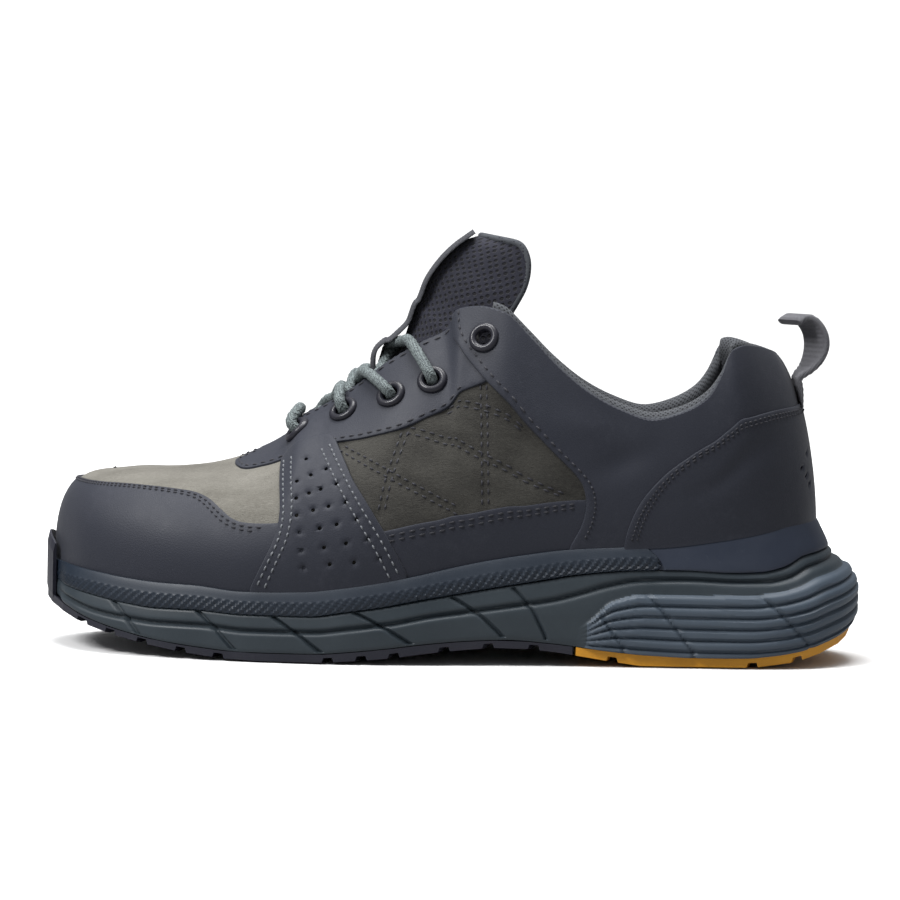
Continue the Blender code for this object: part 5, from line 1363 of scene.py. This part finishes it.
def tongueStrip():
    table = Table(("way", "off"), (
        (0.415, 0.00), (0.430, 0.30), (0.450, 0.56), (0.480, 0.72), (0.515, 0.75), (0.550, 0.66),
        (0.580, 0.42), (0.605, 0.15), (0.63, 0.01), (0.70, 0.00), (0.80, 0.00), (0.90, 0.00),
        (0.95, 0.02), (1.00, 0.12)), isRound=False)
    path = []
    for way in np.linspace(0.415, 1.0, 150):
        middle = tonguePlace(way, 0)[0]
        step = 0.01
        run = tonguePlace(min(way + step, 1), 0)[0] - tonguePlace(max(way - step, 0), 0)[0]
        run /= np.linalg.norm(run)
        normal = np.array([-run[2], 0, run[0]])
        path.append(middle + normal * (float(table.read("off", np.array([way]))[0]) * tonguePad + 0.0007))
    path = relax(np.array(path), 6)
    return band("tongueStrip", path, stripLook["width"], stripLook["thickness"], darkWebbing,
                ribs=stripLook["ribs"], ribPitch=stripLook["ribPitch"], sag=stripLook["sag"])


strip = tongueStrip()
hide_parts("tongue_strip")


def collarRing(angle, side):
    share = np.array([angle])
    top = upperSurface(share, np.array([1.0]), side)[0]
    lowUp = 1 - liningDepth / np.linalg.norm(top - upperSurface(share, np.array([0.0]), side)[0])
    pad = liningPad * float(lining.read("pad", share)[0])
    back = wall + 0.0003
    ring = [(lowUp, back, 0.0), ((lowUp + 1) / 2, back, 0.0), (0.985, back, 0.0)]
    for turn in np.linspace(0, math.pi, 9):
        depth = back + pad * (0.5 - 0.5 * math.cos(turn))
        ring.append((1.0, depth, -0.0012 + (liningStand + 0.0016) * math.sin(turn) ** 0.8))
    for t in np.linspace(0.12, 1.0, 7):
        ring.append((1.0 + (lowUp - 1.0) * t, back + pad * (1.0 - 0.72 * t ** 2.2), -0.0012 * (1 - t)))
    ups, depths, stands = np.array(ring).T
    angles = np.full(len(ups), angle)
    placed = upperSurface(angles, ups, side) - upperNormal(angles, ups, side) * depths[:, None]
    placed[:, 2] += stands
    return placed


print("collar")
collarLook = {"colour": (0.095, 0.102, 0.114), "eye": (0.014, 0.015, 0.019), "knit": 760.0,
              "plain": (0.1, 0.105, 0.115),
              "piping": 0.0012}
collarMesh = knitted("collarMesh", collarLook, (0.7, 0.0004), {"Roughness": 0.92, "Sheen Weight": 0.08}, "UV")


def collarLining():
    shares = np.linspace(0.572, 1.0, 90)
    rings = [collarRing(around(s), -1) for s in shares[:-1]]
    rings.append((collarRing(math.pi, -1) + collarRing(math.pi, 1)) / 2)
    rings += [collarRing(around(s), 1) for s in shares[-2::-1]]
    rings = relax(np.array(rings), 4)
    points, faces = tubeGrid(rings)
    body = buildMesh("collarPadding", points, faces, [collarMesh], 75.0)
    unroll(body, *rings.shape[:2])
    orient(body)
    path = smoothPath([ring[3] + np.array([0, 0, 0.0006]) for ring in rings[::3]], 0.0011, 8)
    pipe("collarPiping", path, collarLook["piping"], tongueEdge)
    return body


padding = collarLining()
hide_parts("collar_lining")

print("pull loop")
loopLook = {"plain": (0.085, 0.085, 0.09),
            "colour": (0.13, 0.13, 0.145), "fleck": (0.28, 0.28, 0.30), "flecked": 0.35, "weave": 600.0,
            "ribs": 0.00022, "ribPitch": 0.0021, "taper": 0.008}
loopWebbing = woven("loopWebbing", loopLook["colour"], loopLook["fleck"], loopLook["flecked"],
                    loopLook["weave"], (0.7, 0.0004), 0.8, loopLook["plain"])


def pullLoop():
    path, turns = [], []
    for up, share in ((0.595, 0.15), (0.63, 0.35), (0.67, 0.75), (0.71, 1.0), (0.75, 1.0), (0.78, 1.0)):
        flat = np.array([[flatRound, up * flatUp]])
        path.append(wallPoint(flat, -1, riseOf("collarPanel") + np.full(1, loopThickness / 2 * share))[0])
        turns.append(0.0)
    rows = ((0.4330, 0.830, 0.4), (0.4425, 0.862, 0.8), (0.4470, 0.900, 1.0), (0.4450, 0.938, 1.0),
            (0.4365, 0.970, 1.0), (0.4260, 0.987, 1.0), (0.4180, 0.985, 1.0), (0.4125, 0.968, 1.0))
    path += [np.array([x * soleLength, 0.0, z * upperHeight]) for x, z, turn in rows]
    turns += [turn * loopTurn for x, z, turn in rows]
    path = np.array(path)
    path[:, 1] = 0.0
    lengths = walkedAlong(path)
    at = np.linspace(0, lengths[-1], 130)
    dense = np.stack([np.interp(at, lengths, path[:, i]) for i in range(3)], -1)
    bent = np.interp(at, lengths, turns)
    dense, bent = relax(dense, 60), relax(bent, 60)
    return band("pullLoop", dense, loopWidth, loopThickness * 0.95, loopWebbing, bent,
                ribs=loopLook["ribs"], ribPitch=loopLook["ribPitch"], taper=loopLook["taper"])


loop = pullLoop()
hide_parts("pull_loop")

# Sole

print("sole")


def planPoints(angles, side, share, out):
    # Plan points between the upper's foot (share 0) and the sole's outline (share 1).
    foot, sole = footOutline(angles, side), soleOutline(angles, side)
    room = 1 - toeWindows(angles) * (bumperThickness + gap) / toeInset
    share = np.broadcast_to(share * room, angles.shape)[:, None]
    out = np.broadcast_to(out, angles.shape)[:, None]
    return foot + (sole - foot) * share + footNormal(angles, side) * out


def toeWindows(angles):
    return 1 - smoothStep(angles, bumperSpread * 1.12, bumperSpread * 1.6)


def roundAngles(start, end, step):
    # Angles at even steps along the outer edge of the sole.
    fine = np.linspace(start, end, 900)
    outline = soleOutline(fine, -1)
    walked = walkedAlong(outline)
    return np.interp(np.linspace(0, walked[-1], int(walked[-1] / step)), walked, fine)


def plain(angles, side, share, out, z):
    return np.concatenate([planPoints(angles, side, share, out), z[:, None]], -1)


randLook = {"colour": (0.010, 0.017, 0.029), "dust": (0.040, 0.052, 0.072), "dusty": 0.25,
            "rib": 0.00045, "ribPitch": 0.0033, "ribSlant": 0.0100}
randRubber = moulded("randRubber", randLook["colour"], randLook["dust"], randLook["dusty"],
                     (0.2, 0.0001), {"Specular IOR Level": 0.4})


def randSide(angles, side, walked):
    low, high = level("rim", angles) + gap * 0.5, level("foot", angles) + 0.0002
    nearToe = 1 - 0.75 * toeWindows(angles)
    section = ((0.36, 0.0, 0), (0.44, 0.05, 0.4), (0.49, 0.12, 1), (0.505, 0.22, 1), (0.495, 0.33, 1),
               (0.475, 0.44, 1), (0.44, 0.54, 0.7), (0.41, 0.585, 0), (0.375, 0.62, 0), (0.30, 0.72, 0),
               (0.21, 0.82, 0), (0.13, 0.90, 0), (0.06, 0.955, 0), (0.01, 0.985, 0))
    columns = []
    for share, up, ribbed in section:
        turns = (walked - up * randLook["ribSlant"]) / randLook["ribPitch"]
        rib = randLook["rib"] * np.sin(turns * 2 * math.pi) * ribbed
        columns.append(plain(angles, side, share * nearToe, gap + 0.0007 + rib, low + (high - low) * up))
    for up in (0.985, 0.0):
        columns.append(plain(angles, side, 0.0, -overlay * 0.6, low + (high - low) * up))
    return np.stack(columns, 1)


def randBand():
    angles = roundAngles(0.0, around(randEnd), 0.00055)
    outline = soleOutline(angles, -1)
    walked = walkedAlong(outline)
    near, far = randSide(angles, -1, walked), randSide(angles, 1, walked)
    points, faces = tubeGrid(np.concatenate([near[::-1], far[1:]]))
    return orient(buildMesh("randBand", points, faces, [randRubber], 50.0))


rand = randBand()
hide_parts("rand")


cradleLook = {"colour": (0.022, 0.029, 0.048), "dust": (0.060, 0.072, 0.095), "dusty": 0.25}
cradleRubber = moulded("cradleRubber", cradleLook["colour"], cradleLook["dust"], cradleLook["dusty"],
                       (0.2, 0.0001), {"Specular IOR Level": 0.4})


def cradleSide(angles, side):
    low, high = level("rim", angles) + gap, level("foot", angles)
    reach = 1 - soleLevels.read("draw", angles)
    columns = []
    for share, up in ((0.90, 0.0), (0.975, 0.02), (0.965, 0.07), (0.90, 0.16), (0.79, 0.28), (0.62, 0.45),
                      (0.44, 0.62), (0.28, 0.78), (0.15, 0.88), (0.06, 0.945), (0.0, 0.965)):
        rowHeight = low + (high - low) * up
        columns.append(plain(angles, side, share * reach, gap + 0.0008 * (1 - share), rowHeight))
    for up in (0.97, 0.0):
        columns.append(plain(angles, side, 0.0, -overlay * 0.6, low + (high - low) * up))
    return np.stack(columns, 1)


def heelCradle():
    angles = roundAngles(around(randEnd + 0.004), math.pi, 0.0012)
    near, far = cradleSide(angles, -1), cradleSide(angles, 1)
    points, faces = tubeGrid(np.concatenate([near, far[-2::-1]]))
    return orient(buildMesh("heelCradle", points, faces, [cradleRubber], 50.0))


cradle = heelCradle()
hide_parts("heel_cradle")

midsoleLook = {"foamPlain": (0.085, 0.108, 0.122),
               "foam": (0.026, 0.036, 0.045), "foamDust": (0.055, 0.070, 0.082),
               "pad": (0.058, 0.078, 0.104), "padDust": (0.10, 0.125, 0.155), "dusty": 0.35,
               "grooveDepth": 0.0018, "slantDepth": 0.0017, "grooveWidth": 0.0009, "padRibs": 5.5}
midsoleFoam = moulded("midsoleFoam", midsoleLook["foam"], midsoleLook["foamDust"], midsoleLook["dusty"],
                      (0.25, 0.00015), {"Base Color": midsoleLook["foamPlain"],
                                        "Specular IOR Level": 0.4})
padFoam = moulded("padFoam", midsoleLook["pad"], midsoleLook["padDust"], midsoleLook["dusty"],
                  (0.25, 0.00015), {"Specular IOR Level": 0.4})

slant = Table(("length", "run"), (
    (0.00, 0.000), (0.09, 0.034), (0.20, 0.046), (0.29, 0.058), (0.39, 0.066), (0.50, 0.060),
    (0.60, 0.030), (0.68, 0.000), (1.00, 0.000)), isRound=False)
slantedGrooves = (0.093, 0.200, 0.292, 0.392, 0.510, 0.585)
padSlits = (0.715, 0.800, 0.940)


def midsoleRelief(shares, up, z, marks):
    # How far the side stands out: long groove, slanted grooves and the ribbed heel pad.
    low, pad, groove, rim = marks
    width = midsoleLook["grooveWidth"]
    relief = -midsoleLook["grooveDepth"] * np.exp(-((z - groove) / width) ** 2)
    front = 1 - smoothStep(shares, 0.57, 0.63)
    nearest = np.abs(shares[:, None] - np.array(slantedGrooves)).min(1) * soleLength
    relief -= midsoleLook["slantDepth"] * np.exp(-(nearest / width) ** 2) * front * (0.04 < up < 0.97)
    heel = smoothStep(shares, 0.648, 0.690)
    inPad = smoothStep(z, pad + 0.0002, pad - 0.0006)
    turn = (z - low) / np.maximum(pad - low, 1e-4) * midsoleLook["padRibs"]
    rib = 0.5 + 0.5 * np.cos(2 * math.pi * turn)
    away = (shares[:, None] - np.array(padSlits)) * soleLength + (z - low)[:, None] * 0.8
    slit = np.exp(-(away / width) ** 2)
    relief += heel * inPad * (0.0019 - 0.0015 * (1 - rib) ** 4 - 0.0012 * slit.max(1))
    return relief


def midsoleRow(shares, side, up):
    lean = slant.read("run", shares) * (1 - up)
    moved = np.arccos(1 - 2 * np.minimum(shares + lean, 1.0))
    low, pad, groove, rim = (level(name, moved) for name in ("tread", "pad", "groove", "rim"))
    low = low + gap
    z = low + (rim - low) * up
    relief = midsoleRelief(shares, up, z, (low, pad, groove, rim))
    draw = soleLevels.read("draw", moved)
    out = 1 - draw * max(0.0, (up - 0.45) / 0.55) ** 1.5 - 0.10 * max(0.0, 1 - up / 0.12) ** 2
    relief = relief * (1 - toeWindows(moved)) - 0.0005 * max(0.0, (up - 0.93) / 0.07) ** 2
    return plain(moved, side, out, relief, z)


def seatRow(angles, side, isLow):
    z = level("rim", angles)
    return plain(angles, side, 0.0, -seatInset, np.minimum(z - recess, seatHeight) if isLow else z)


def midsoleBody():
    shares = (1 - np.cos(roundAngles(0.0, math.pi, 0.0009))) / 2
    shares[0], shares[-1] = 0.0, 1.0
    angles = np.arccos(1 - 2 * shares)
    rows = [np.concatenate([midsoleRow(shares, -1, up), midsoleRow(shares, 1, up)[-2:0:-1]])
            for up in np.linspace(0, 1, 52)]
    rows += [np.concatenate([seatRow(angles, -1, isLow), seatRow(angles, 1, isLow)[-2:0:-1]])
             for isLow in (False, True)]
    size, faces = len(rows[0]), []
    for i in range(len(rows) - 1):
        for k in range(size):
            m = (k + 1) % size
            faces.append((i * size + k, i * size + m, (i + 1) * size + m, (i + 1) * size + k))
    for base in (0, (len(rows) - 1) * size):
        for k in range(size // 2):
            across = [base + k, base + k + 1, base + (size - k - 1) % size, base + (size - k) % size]
            faces.append(tuple(dict.fromkeys(across)))
    ups = np.linspace(0, 1, 52)
    kinds = np.zeros(len(faces), int)
    allShares = np.concatenate([shares, shares[-2:0:-1]])
    for i in range(51):
        turned = np.arccos(1 - 2 * np.minimum(allShares + slant.read("run", allShares) * (1 - ups[i]), 1.0))
        low, pad, rim = (level(name, turned) for name in ("tread", "pad", "rim"))
        inPad = (low + (rim - low) * ups[i] < pad - 0.0002) & (allShares > 0.662)
        kinds[i * size:(i + 1) * size] = inPad
    points = np.concatenate(rows)
    return orient(buildMesh("midsoleBody", points, faces, [midsoleFoam, padFoam], 40.0, kinds))


midsole = midsoleBody()
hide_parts("midsole")

treadLook = {"outsole": (0.009, 0.010, 0.020), "outsoleDust": (0.04, 0.04, 0.055), "outsoleDusty": 0.35,
             "outsolePlain": (0.014, 0.016, 0.028),
             "heel": (0.80, 0.36, 0.018), "heelDust": (0.52, 0.22, 0.02), "heelDusty": 0.45,
             "insole": (0.05, 0.055, 0.07), "insoleFleck": (0.14, 0.14, 0.15), "insoleWeave": 380.0}
outsoleRubber = moulded("outsoleRubber", treadLook["outsole"], treadLook["outsoleDust"],
                        treadLook["outsoleDusty"], (0.3, 0.0002),
                        {"Base Color": treadLook["outsolePlain"]})
heelRubber = moulded("heelRubber", treadLook["heel"], treadLook["heelDust"], treadLook["heelDusty"],
                     (0.3, 0.0002), {})
insoleCloth = woven("insoleCloth", treadLook["insole"], treadLook["insoleFleck"], 0.35,
                    treadLook["insoleWeave"], (0.7, 0.0004), 0.95)
for node, surface in (("outsole", outsoleRubber), ("heel_outsole", heelRubber), ("insole", insoleCloth)):
    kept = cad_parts[node]
    kept.data.materials.clear()
    kept.data.materials.append(surface)

# Camera, light and floor

print("camera and light")
view = {"distance": 1.4, "height": 3.5, "roll": 1.25, "lens": 148.3}
aim = Vector((-0.0008, 0.0, 0.0760))
tilt = math.radians(view["height"])
seat = aim + Vector((0, -math.cos(tilt), math.sin(tilt))) * view["distance"]
camera = bpy.data.objects.new("camera", bpy.data.cameras.new("camera"))
bpy.context.collection.objects.link(camera)
camera.data.lens = view["lens"]
camera.data.sensor_width = 36.0
turned = (aim - seat).to_track_quat("-Z", "Y").to_matrix().to_4x4()
roll = Matrix.Rotation(math.radians(view["roll"]), 4, "Z")
camera.matrix_world = Matrix.Translation(seat) @ turned @ roll
bpy.context.scene.camera = camera

stageLook = {"floor": (0.88, 0.88, 0.88), "bounce": (0.32, 0.32, 0.32), "world": (0.95, 0.97, 1.0),
             "worldStrength": 0.27}
floorPaint, floorShader = newMaterial("floorPaint", {"Base Color": stageLook["floor"], "Roughness": 0.95,
                                                     "Specular IOR Level": 0.0})
sight = floorPaint.node_tree.nodes.new("ShaderNodeLightPath")
paint = mixColour(floorPaint.node_tree, sight.outputs["Is Camera Ray"], (*stageLook["bounce"], 1.0),
                  (*stageLook["floor"], 1.0))
floorPaint.node_tree.links.new(paint, floorShader.inputs["Base Color"])
profile = [(-6.0, 0.0), (1.6, 0.0)]
profile += [(1.6 + 1.4 * math.sin(a), 1.4 - 1.4 * math.cos(a)) for a in np.linspace(0.1, math.pi / 2, 16)]
profile.append((3.0, 7.0))
points = [(x, y, z) for y, z in profile for x in (-9.0, 9.0)]
faces = [(2 * i, 2 * i + 1, 2 * i + 3, 2 * i + 2) for i in range(len(profile) - 1)]
backdropMesh = bpy.data.meshes.new("backdrop")
backdropMesh.from_pydata(points, [], faces)
backdropMesh.materials.append(floorPaint)
backdropMesh.shade_smooth()
backdrop = bpy.data.objects.new("backdrop", backdropMesh)
bpy.context.collection.objects.link(backdrop)

lights = {"key": ((-1.3, -0.9, 1.7), 0.8, 46.0), "top": ((0.0, 0.1, 2.2), 1.2, 46.0),
          "wall": ((0.0, 0.4, 2.6), 2.2, 60.0)}
for name, (place, size, power) in lights.items():
    lamp = bpy.data.lights.new(name, "AREA")
    lamp.size = size
    lamp.energy = power
    holder = bpy.data.objects.new(name, lamp)
    bpy.context.collection.objects.link(holder)
    holder.location = place
    goal = Vector((0.0, 3.0, 0.9)) if name == "wall" else aim
    holder.rotation_euler = (goal - Vector(place)).to_track_quat("-Z", "Y").to_euler()
world = bpy.data.worlds.new("world")
bpy.context.scene.world = world
world.use_nodes = True
background = world.node_tree.nodes["Background"]
background.inputs["Color"].default_value = (*stageLook["world"], 1.0)
background.inputs["Strength"].default_value = stageLook["worldStrength"]
bpy.context.scene.view_settings.view_transform = "Standard"
